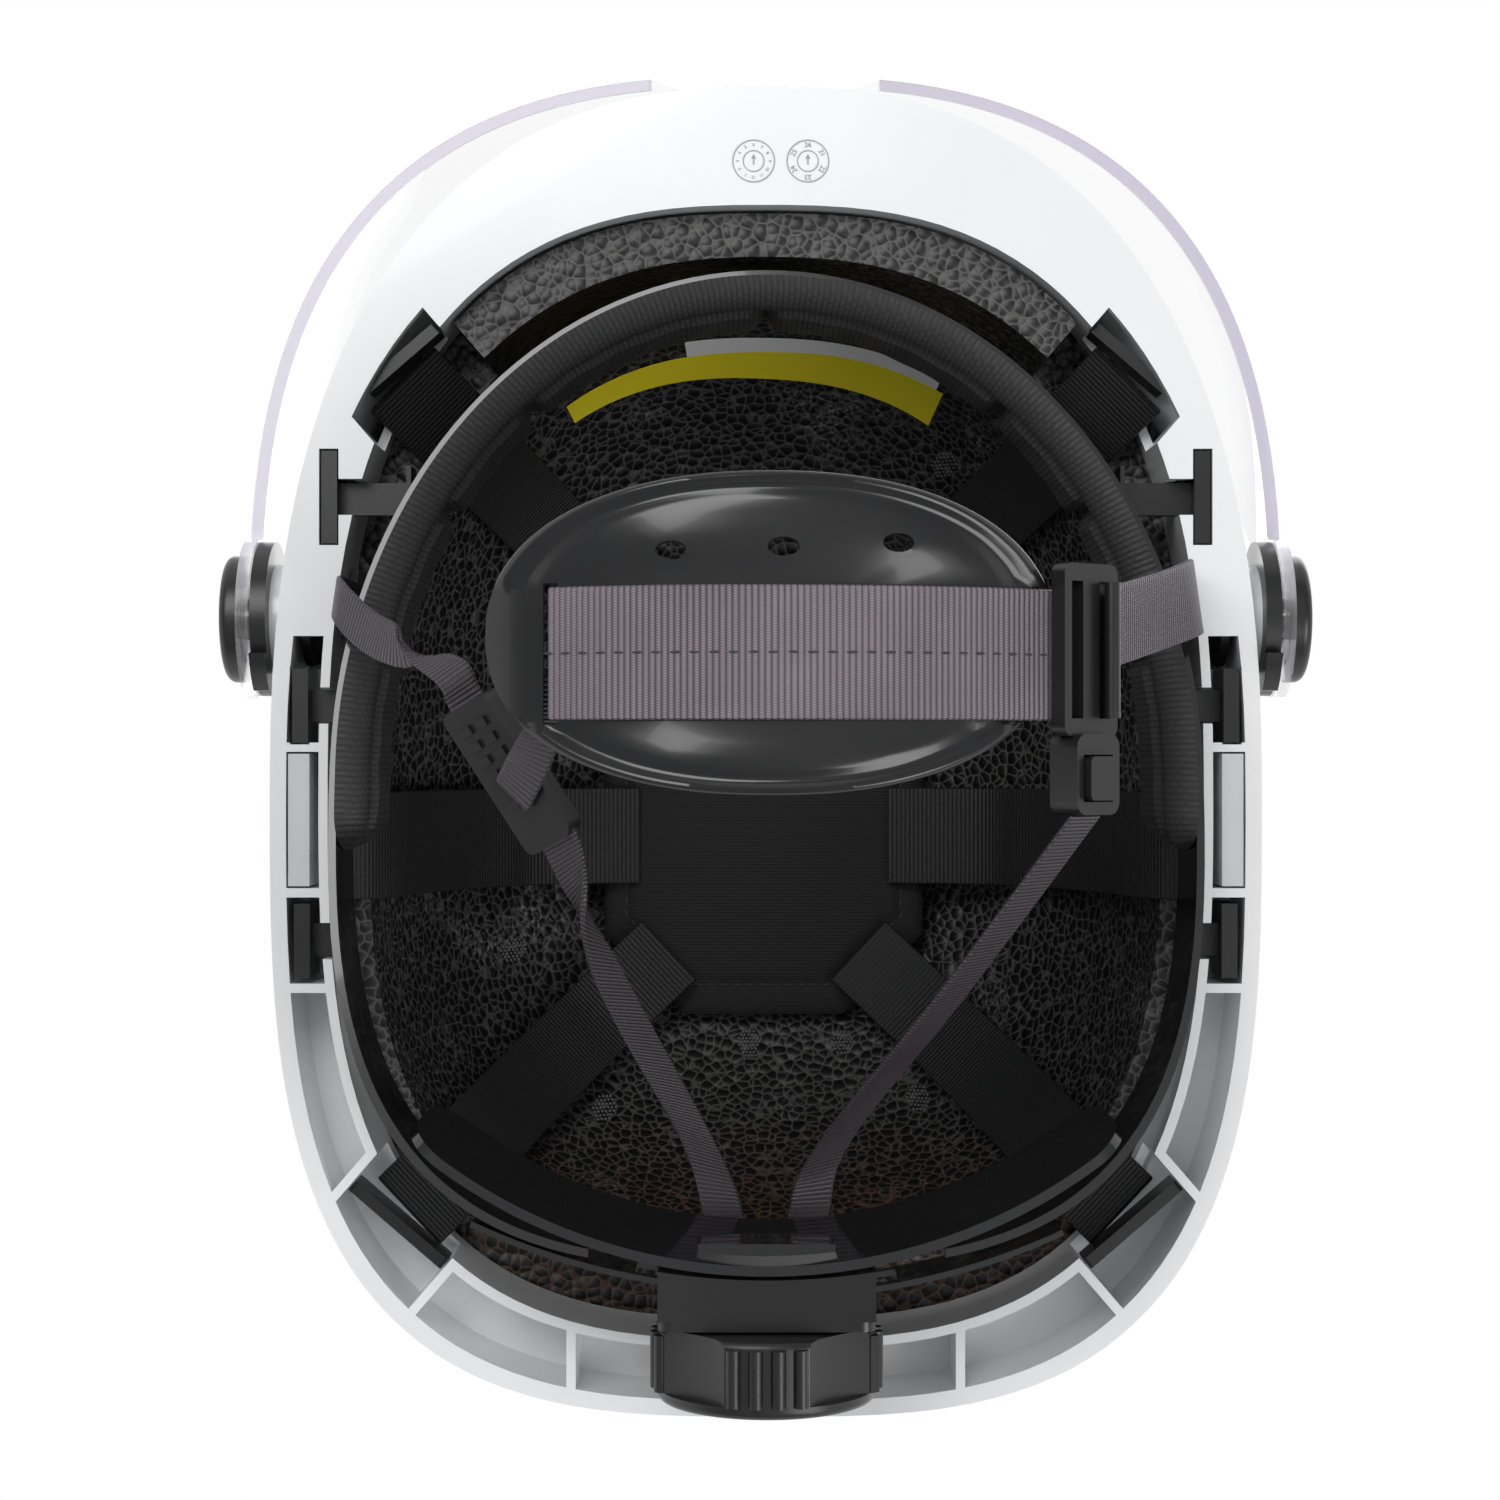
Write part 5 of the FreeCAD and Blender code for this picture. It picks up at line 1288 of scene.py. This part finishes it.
@dataclass
class ChinCup:
    """Glossy cup with a rolled rim, two lobes and three vents."""

    centre: tuple[float, float] = (0.5 * MM, -25.0 * MM)
    half_length: float = 54.5 * MM
    half_width: float = 30.0 * MM
    radius: float = 88.0 * MM
    axis_z: float = -1.0 * MM
    thick: float = 3.0 * MM
    power: float = 2.25
    web_y: float = -21.5 * MM
    web_half: float = 13.6 * MM
    lobe_rise: float = 1.3 * MM
    lobe_slope: float = 7.0 * MM
    rim_rise: float = 1.2 * MM
    groove_depth: float = 0.6 * MM
    slot_x: float = -41.0 * MM
    slot_width: float = 2.8 * MM
    slot_length: float = 26.6 * MM
    vent_radius: float = 2.2 * MM
    cut_depth: float = 60.0 * MM
    cut_z: float = -80.0 * MM
    count: int = 180
    shares: tuple[float, ...] = (0.004, 0.15, 0.3, 0.45, 0.58, 0.68, 0.76, 0.82, 0.86, 0.89, 0.91, 0.93,
                                 0.95, 0.97, 0.985, 0.996, 1.0)
    vents: tuple[tuple[float, float], ...] = ((-18.0, -40.4), (2.8, -41.0), (24.2, -41.9))

    def outer(self, x: float, y: float, share: float) -> float:
        """Measures the outer face's depth below the trough's axis.

        Args:
            x: The place along X.
            y: The place along Y.
            share: The place from the middle, 0, to the edge, 1.

        Returns:
            The depth.
        """
        away = abs(y - self.web_y) - self.web_half
        lobe = self.lobe_rise * max(0.0, min(1.0, away / self.lobe_slope)) * (1.0 - share**6)
        rim = self.rim_rise * math.exp(-(((share - 0.975) / 0.035) ** 2))
        groove = self.groove_depth * math.exp(-(((share - 0.9) / 0.03) ** 2))
        return math.sqrt(self.radius**2 - x * x) + lobe + (rim - groove) * (1.0 if away > 0 else 0.0)

    def face(self, share: float, angle: float, inner: bool) -> Vector:
        """Places a point of the outer or inner face.

        Args:
            share: The place from the middle, 0, to the edge, 1.
            angle: The direction in radians.
            inner: Whether it is on the inner face.

        Returns:
            The point.
        """
        c, s = math.cos(angle), math.sin(angle)
        reach = (abs(c) ** self.power + abs(s) ** self.power) ** (-1.0 / self.power) * share
        x = self.centre[0] + self.half_length * reach * c
        y = self.centre[1] + self.half_width * reach * s
        depth = math.sqrt((self.radius - self.thick) ** 2 - x * x) if inner else self.outer(x, y, share)
        return Vector((x, y, self.axis_z - depth))

    def cutter(self, form: bmesh.types.BMesh, size: tuple[float, ...], x: float,
               y: float) -> bpy.types.Object:
        """Returns an upright cutter for a hole through the cup.

        Args:
            form: Its shape, standing at the origin.
            size: What the shape is stretched by.
            x: Where the hole is, along X.
            y: Where the hole is, along Y.

        Returns:
            The cutter's object.
        """
        mesh = bpy.data.meshes.new("cutter")
        work = form.copy()
        bmesh.ops.scale(work, vec=size, verts=work.verts)
        bmesh.ops.translate(work, vec=(x, y, self.cut_z), verts=work.verts)
        work.to_mesh(mesh)
        work.free()
        return loose_object("cutter", mesh)

    def build(self) -> None:
        """Builds the cup with its vents and slot cut through."""
        angles = [2 * math.pi * i / self.count for i in range(self.count)]
        rows = [[self.face(share, angle, False) for angle in angles] for share in self.shares]
        rows += [[self.face(share, angle, True) for angle in angles] for share in self.shares[::-1]]
        cup = loose_object("cup_blank", grid_mesh("cup_blank", rows, capped=True))
        round_cut, square_cut = bmesh.new(), bmesh.new()
        bmesh.ops.create_cone(round_cut, cap_ends=True, segments=20, radius1=self.vent_radius,
                              radius2=self.vent_radius, depth=self.cut_depth)
        bmesh.ops.create_cube(square_cut, size=1.0)
        cutters = [self.cutter(round_cut, (1.35, 0.8, 1.0), x * MM, y * MM) for x, y in self.vents]
        cutters.append(self.cutter(square_cut, (self.slot_width, self.slot_length, self.cut_depth),
                                   self.slot_x, self.web_y))
        for work in (round_cut, square_cut):
            work.free()
        for cutter in cutters:
            cut = cup.modifiers.new("cut", "BOOLEAN")
            cut.operation, cut.object, cut.solver = "DIFFERENCE", cutter, "EXACT"
        mesh = baked(cup)
        for cutter in cutters:
            bpy.data.objects.remove(cutter)
        mesh.name = "chin_cup_shell"
        mesh.shade_smooth()
        mesh.set_sharp_from_angle(angle=CUT_EDGE)
        add_piece("chin_cup_shell", mesh, FINISHES[Slot.CUP], ("chin_cup",))


@dataclass
class ChinStraps:
    """All mauve webbing: across the cup, up the sides and back to the rear anchor."""

    cup: ChinCup = field(default_factory=ChinCup)
    thick: float = 1.3 * MM
    wide: float = 25.0 * MM
    side: float = 16.0 * MM
    narrow: float = 8.8 * MM
    gap: float = 0.3 * MM
    slider: tuple[tuple[float, ...], ...] = ((-58.6, -12.8, -58.5), (-41.2, 14.4, -56.5), (0.45, -0.3, 0.85))
    buckle_turn: float = math.radians(41.5)
    buckle_radius: float = 91.6 * MM
    buckle_y: float = -22.5

    def on_arc(self, radius: float, turn: float, y: float) -> Station:
        """Returns a station round the cup's axis, turned from straight down."""
        out = Vector((math.sin(turn), 0.0, -math.cos(turn)))
        return Station(Vector((0.0, y, self.cup.axis_z)) + out * radius, Vector((0, 1, 0)), out)

    def on_slider(self, distance: float, sign: float = 1.0) -> Station:
        """Places a station on the slider's long axis.

        Args:
            distance: How far along it, in millimetres.
            sign: Which way the face looks.

        Returns:
            The station.
        """
        start, end, up = (Vector(v) for v in self.slider)
        along = (end - start).normalized()
        across = up.cross(along).normalized()
        return Station((start + along * distance) * MM, across * sign, along.cross(across) * sign)

    def side_run(self) -> list[Station]:
        """Places the part of a side strap between the headband and the rim, on the left.

        Returns:
            Its stations.
        """
        y, turn = -35.3, math.radians(8.0)
        x = RIM_PLAN.inset(RIM_WALL).x_at(y * MM) / MM - 3.05
        across, normal = (math.sin(turn), math.cos(turn), 0), (math.cos(turn), -math.sin(turn), 0)
        return [station((x, y, 21.0), across, normal), station((x, y, -21.0), across, normal)]

    def build(self) -> None:
        """Builds every mauve strap and its stitches."""
        radius = self.cup.radius + self.gap + self.thick / 2
        turns = [math.asin(x * MM / radius) for x in range(-41, 64, 8)]
        across_cup = [self.on_arc(radius, turn, self.cup.web_y) for turn in turns]
        Strap("chin_webbing_cloth", across_cup, self.wide, self.thick, Slot.MAUVE, "chin_webbing", 6).build()
        stitch_r = radius + self.thick / 2 * 0.95
        line = [self.on_arc(stitch_r, turn, self.cup.web_y).centre for turn in turns]
        REPEATS.stitches("chin_webbing_stitches", line, spacing=3.6 * MM)

        low = math.sqrt((self.cup.radius - self.cup.thick - 0.95 * MM) ** 2 - (41 * MM) ** 2)
        tail_z = (self.cup.axis_z - low) / MM
        last = self.on_slider(20.0)
        last = Station(last.centre - last.normal * 4.15 * MM, Vector((0.7, 0.7, 0)), last.normal)
        tail = [station((-41.0, -17.5, tail_z), (1, 0, -0.48), (0.48, 0, 1)),
                station((-42.0, -9.5, tail_z + 3.5), (1, 0, -0.48), (0.48, 0, 1)), last]
        # The tail, side and rear straps take the darker copy of the mauve webbing, which is painted shade.
        Strap("chin_webbing_tail_cloth", tail, self.narrow, self.thick, Slot.MAUVE, "chin_webbing_tail",
              finish=MAUVE_WEBBING_PAINTED_SHADE).build()

        buckle = self.on_arc(self.buckle_radius, self.buckle_turn, self.buckle_y * MM).centre / MM
        left = self.side_run()
        left += [station((79.0, -31.3, -43.0), (0, 1, 0), (0.85, 0, -0.5)),
                 station((buckle.x + 6.2, -27.3, buckle.z + 6.4), (0, 1, 0), (0.75, 0, -0.66))]
        Strap("side_webbing_left", left, self.side, self.thick, Slot.MAUVE, "side_strap_left",
              finish=MAUVE_WEBBING_PAINTED_SHADE).build()
        right = [flipped(s) for s in self.side_run()]
        right = [Station(s.centre, Vector((s.across.x, s.across.y, 0)), s.normal) for s in right]
        right.append(station((-80.0, -27.0, -38.0), (-0.3, 0.9, 0.2), (-0.8, -0.1, -0.45)))
        right += [self.on_slider(d, -1.0) for d in (-8.0, -1.0, 5.0)]
        Strap("side_webbing_right", right, self.narrow, self.thick, Slot.MAUVE, "side_strap_right",
              finish=MAUVE_WEBBING_PAINTED_SHADE).build()

        rim_y = (RIM_PLAN.centre_y + RIM_PLAN.rear - RIM_WALL) / MM - 2.2
        length = (Vector(self.slider[1]) - Vector(self.slider[0])).length
        start_y = self.buckle_y + 16.5 + 15.0 + 0.3
        leads = {
            "right": (-1, [self.on_slider(length - 5.0), self.on_slider(length + 3.0),
                           station((-31.0, 44.0, -40.0), (0.8, 0.1, 0.6), (0.4, 0.4, -0.8))]),
            "left": (1, [station((buckle.x, start_y, buckle.z), (0.7, 0, 0.7), (0.7, 0.1, -0.7)),
                         station((37.0, 46.0, -42.0), (0.8, -0.1, 0.6), (0.4, 0.4, -0.8))]),
        }
        for name, (side, lead) in leads.items():
            run = lead + [station((side * 14.0, 80.0, -13.0), (1, 0.3 * -side, 0.1), (0, 0.35, -1)),
                          station((side * 9.0, 96.0, -7.0), (1, 0, 0), (0, 0.4, -1)),
                          station((side * 6.0, rim_y - 4.0, 3.0), (1, 0, 0), (0, 0.9, -0.5)),
                          station((side * 5.6, rim_y - 0.95, 13.0), (1, 0, 0), (0, 1, 0))]
            Strap(f"rear_webbing_{name}", run, self.narrow, self.thick, Slot.MAUVE, f"rear_strap_{name}",
                  finish=MAUVE_WEBBING_PAINTED_SHADE).build()


@dataclass
class Details:
    """Small things on the shell and liner: dials, a blank sticker and foam vent dots."""

    dial_radius: float = 4.5 * MM
    dial_z: float = -0.12 * MM
    dial_y: float = -130.4 * MM
    dials: tuple[tuple[float, tuple[int, ...], float], ...] = (
        (-2.6, tuple(range(1, 13)), 0.95), (9.1, tuple(range(21, 27)), 1.55))
    dot_radius: float = 0.36 * MM
    dot_pitch: tuple[float, float] = (0.9, 0.8)
    cluster_radius: float = 2.8
    clusters: tuple[tuple[float, float], ...] = (
        (-30.0, -66.0), (-6.0, -69.0), (44.0, -73.0), (-62.0, 46.0),
        (-3.8, 70.0), (20.0, 70.0), (-39.0, 84.0), (38.0, 82.0))
    sticker_face: float = 0.55 * MM
    sticker_back: float = 0.35 * MM

    def text(self, name: str, body: str, size: float, place: Vector, turn: float) -> bpy.types.Mesh:
        """Returns flat lettering as a mesh in place, readable from below.

        Args:
            name: The mesh's name.
            body: The number.
            size: Height of the figures.
            place: Its middle.
            turn: How far it is turned about the vertical.

        Returns:
            The mesh.
        """
        data = bpy.data.curves.new(name, "FONT")
        data.body, data.size = body, size
        data.align_x = data.align_y = "CENTER"
        data.extrude = 0.05 * MM
        letter = loose_object(name, data)
        mesh = baked(letter)
        for vertex in mesh.vertices:
            x, y, z = vertex.co
            c, s = math.cos(turn), math.sin(turn)
            vertex.co = place + Vector((x * c - y * s, -(x * s + y * c), -z))
        return mesh

    def circle(self, centre: Vector, radius: float, half: float) -> bpy.types.Mesh:
        """Makes a thin flat ring.

        Args:
            centre: Its middle.
            radius: Its radius.
            half: Half its width.

        Returns:
            The mesh.
        """
        count = 48
        thin = 0.05 * MM
        section = ((-half, -thin), (half, -thin), (half, thin), (-half, thin))
        rows = []
        for i in range(count + 1):
            turn = 2 * math.pi * i / count
            out = Vector((math.cos(turn), math.sin(turn), 0))
            rows.append([centre + out * (radius + dr) + Vector((0, 0, dz)) for dr, dz in section])
        return grid_mesh("dial_circle", rows)

    def join(self, name: str, meshes: list[bpy.types.Mesh], finish: Finish) -> None:
        """Adds several meshes as one piece.

        Args:
            name: The piece's name.
            meshes: The meshes.
            finish: Its finish.
        """
        work = bmesh.new()
        for mesh in meshes:
            work.from_mesh(mesh)
        bmesh.ops.remove_doubles(work, verts=work.verts, dist=1e-7)
        whole = bpy.data.meshes.new(name)
        work.to_mesh(whole)
        work.free()
        add_piece(name, whole, finish)

    def build_dials(self) -> None:
        """Builds two date dials under the brim, each a ring of numbers and an arrow."""
        for index, (x, numbers, size) in enumerate(self.dials):
            centre = Vector((x * MM, self.dial_y, self.dial_z))
            meshes = [self.circle(centre, self.dial_radius, 0.12 * MM),
                      self.circle(centre, self.dial_radius * 0.5, 0.1 * MM),
                      self.text("arrow", "I", 2.6 * MM, centre, 0.0),
                      self.text("arrow_head", "^", 2.4 * MM, centre + Vector((0, -0.5 * MM, 0)), 0.0)]
            for i, number in enumerate(numbers):
                angle = 2 * math.pi * (i - 5) / len(numbers)
                place = centre + Vector((math.sin(angle), -math.cos(angle), 0)) * self.dial_radius * 0.77
                meshes.append(self.text("number", str(number), size * MM, place, -angle))
            self.join(f"date_dial_{index + 1}", meshes, GREY_PRINT)

    def on_liner(self, angle: float, z: float, lift: float) -> Vector:
        """Returns a point just inside the liner's dome."""
        return LINER_PLAN.scaled(dome_share(z, LINER_HEIGHT)).inset(lift).point(angle, z)

    def sticker(self, name: str, finish: Finish, turns: tuple[float, float], low: tuple[float, float],
                high: tuple[float, float]) -> None:
        """Builds one blank strip on the front of the liner's dome.

        Args:
            name: The piece's name.
            finish: Its finish.
            turns: Directions of its ends in degrees.
            low: Heights of its lower edge at the ends, in millimetres.
            high: Heights of its upper edge at the ends, in millimetres.
        """
        rows = []
        for i in range(41):
            share = i / 40
            angle = math.radians(turns[0] + (turns[1] - turns[0]) * share)
            bottom, top = (MM * (a + (b - a) * share) for a, b in (low, high))
            heights = [bottom + (top - bottom) * j / 8 for j in range(9)]
            rows.append([self.on_liner(angle, z, self.sticker_face) for z in heights]
                        + [self.on_liner(angle, z, self.sticker_back) for z in reversed(heights)])
        add_piece(name, grid_mesh(name, rows, capped=True), finish)

    def build_sticker(self) -> None:
        """Builds the blank yellow strip and the pale strip below it."""
        self.sticker("blank_sticker", YELLOW_STICKER, (-117.0, -66.0), (62.0, 62.0), (68.5, 74.0))
        self.sticker("blank_sticker_header", WHITE_STICKER, (-100.0, -67.0), (56.0, 57.5), (61.8, 61.8))

    def build_dots(self) -> None:
        """Builds the clusters of small vent dots on the liner's dome."""
        points = []
        for x, y in self.clusters:
            for i in range(-3, 4):
                for j in range(-3, 4):
                    u, v = (i + 0.5 * (j % 2)) * self.dot_pitch[0], j * self.dot_pitch[1]
                    if math.hypot(u, v) > self.cluster_radius:
                        continue
                    spot = Vector(((x + u) * MM, (y + v) * MM, 0))
                    away = Vector((spot.x, spot.y - LINER_PLAN.centre_y, 0))
                    share = away.length / LINER_PLAN.radius(math.atan2(away.y, away.x))
                    z = LINER_HEIGHT * max(0.0, 1.0 - share**DOME_POWER) ** (1.0 / DOME_POWER)
                    points.append(Vector((spot.x, spot.y, z - 0.05 * MM)))
        mesh = REPEATS.mesh(RepeatKind.DOTS, "foam_vent_dots", points, VENT_DOTS, self.dot_radius)
        add_piece("foam_vent_dots", mesh, VENT_DOTS)

    def build(self) -> None:
        """Builds every detail."""
        self.build_dials()
        self.build_sticker()
        self.build_dots()


@dataclass
class Hardware:
    """CAD nodes that keep their own shape and only take a finish."""

    frame: dict

    def build(self) -> None:
        """Gives every CAD node the finish of its slot."""
        for entry in self.frame["record"]["subparts"]:
            node = self.frame["nodes"][entry["node"]]
            node.data.materials.clear()
            node.data.materials.append(WARDROBE.get(FINISHES[Slot(entry["material_slot"])]))
            LOG.info("%s: %s", entry["node"], entry["material_slot"])


class Lamp(NamedTuple):
    """One square area lamp."""

    name: str
    place: tuple[float, float, float]
    side: float
    watts: float


@dataclass
class Studio:
    """The floor, world, lamps and camera."""

    eye: tuple[float, float, float] = (-3.4 * MM, -3.4 * MM, -620.0 * MM)
    lens: float = 69.0
    floor_z: float = -0.86
    floor_half: float = 2.5
    sky: Colour = (0.92, 0.94, 0.97)
    sky_strength: float = 0.38
    lamps: tuple[Lamp, ...] = (
        Lamp("key", (-0.22, -0.36, -0.80), 0.6, 5.7),
        Lamp("fill", (0.6, 0.35, -0.7), 0.5, 3.6),
        Lamp("top", (0.3, -0.4, 0.9), 1.2, 9.0),
    )

    def build(self) -> None:
        """Builds the whole studio."""
        self.floor()
        self.world()
        for lamp in self.lamps:
            self.light(lamp)
        self.camera()

    def floor(self) -> None:
        """Lays a pale floor below the camera."""
        h, z = self.floor_half, self.floor_z
        mesh = bpy.data.meshes.new("floor")
        mesh.from_pydata([(-h, -h, z), (h, -h, z), (h, h, z), (-h, h, z)], [], [(0, 1, 2, 3)])
        floor = loose_object("floor", mesh)
        mesh.materials.append(WARDROBE.get(Moulded("pale_floor", (0.78, 0.78, 0.78), (0.82, 0.82, 0.82), 0.8,
                                                   0.0001, scale=40.0, scuffs=0.0)))

    def world(self) -> None:
        """Soft light all round, with plain white where the camera, gloss or glass look past the hat."""
        world = bpy.data.worlds.new("world")
        bpy.context.scene.world = world
        world.use_nodes = True
        world.node_tree.nodes.clear()
        shading = Shading(world.node_tree)
        path = shading.node("ShaderNodeLightPath")
        seen = shading.math("MAXIMUM", path.outputs["Is Camera Ray"], path.outputs["Is Transmission Ray"])
        seen = shading.math("MAXIMUM", seen, path.outputs["Is Glossy Ray"])
        soft = shading.node("ShaderNodeBackground")
        soft.inputs["Color"].default_value = (*self.sky, 1.0)
        soft.inputs["Strength"].default_value = self.sky_strength
        white = shading.node("ShaderNodeBackground")
        white.inputs["Color"].default_value = (1.0, 1.0, 1.0, 1.0)
        mix, sink = shading.node("ShaderNodeMixShader"), shading.node("ShaderNodeOutputWorld")
        shading.put(mix.inputs[0], seen)
        shading.put(mix.inputs[1], soft.outputs[0])
        shading.put(mix.inputs[2], white.outputs[0])
        shading.put(sink.inputs["Surface"], mix.outputs[0])

    def light(self, lamp: Lamp) -> None:
        """Adds one lamp turned to the hat.

        Args:
            lamp: The lamp.
        """
        data = bpy.data.lights.new(lamp.name, "AREA")
        data.size, data.energy = lamp.side, lamp.watts
        item = bpy.data.objects.new(lamp.name, data)
        item.location = lamp.place
        item.rotation_euler = (-Vector(lamp.place)).to_track_quat("-Z", "Y").to_euler()
        bpy.context.scene.collection.objects.link(item)

    def camera(self) -> None:
        """Sets the camera below the hat, looking up, with the brow at the top."""
        data = bpy.data.cameras.new("camera")
        data.sensor_width, data.lens = 36.0, self.lens
        data.clip_start = 10 * MM
        camera = bpy.data.objects.new("camera", data)
        camera.location = self.eye
        camera.rotation_euler = (math.pi, 0.0, 0.0)
        bpy.context.scene.collection.objects.link(camera)
        bpy.context.scene.camera = camera
        bpy.context.scene.view_settings.view_transform = "Standard"


def main() -> None:
    """Builds the hat and its studio around the frame."""
    logging.basicConfig(level=logging.INFO, format="%(message)s")
    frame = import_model()
    Studio().build()
    Hardware(frame).build()
    for assembly in (BrowPad(), CrownPad(), CrownStraps(), ChinCup(), ChinStraps(), Details()):
        assembly.build()


if __name__ == "__main__":
    main()
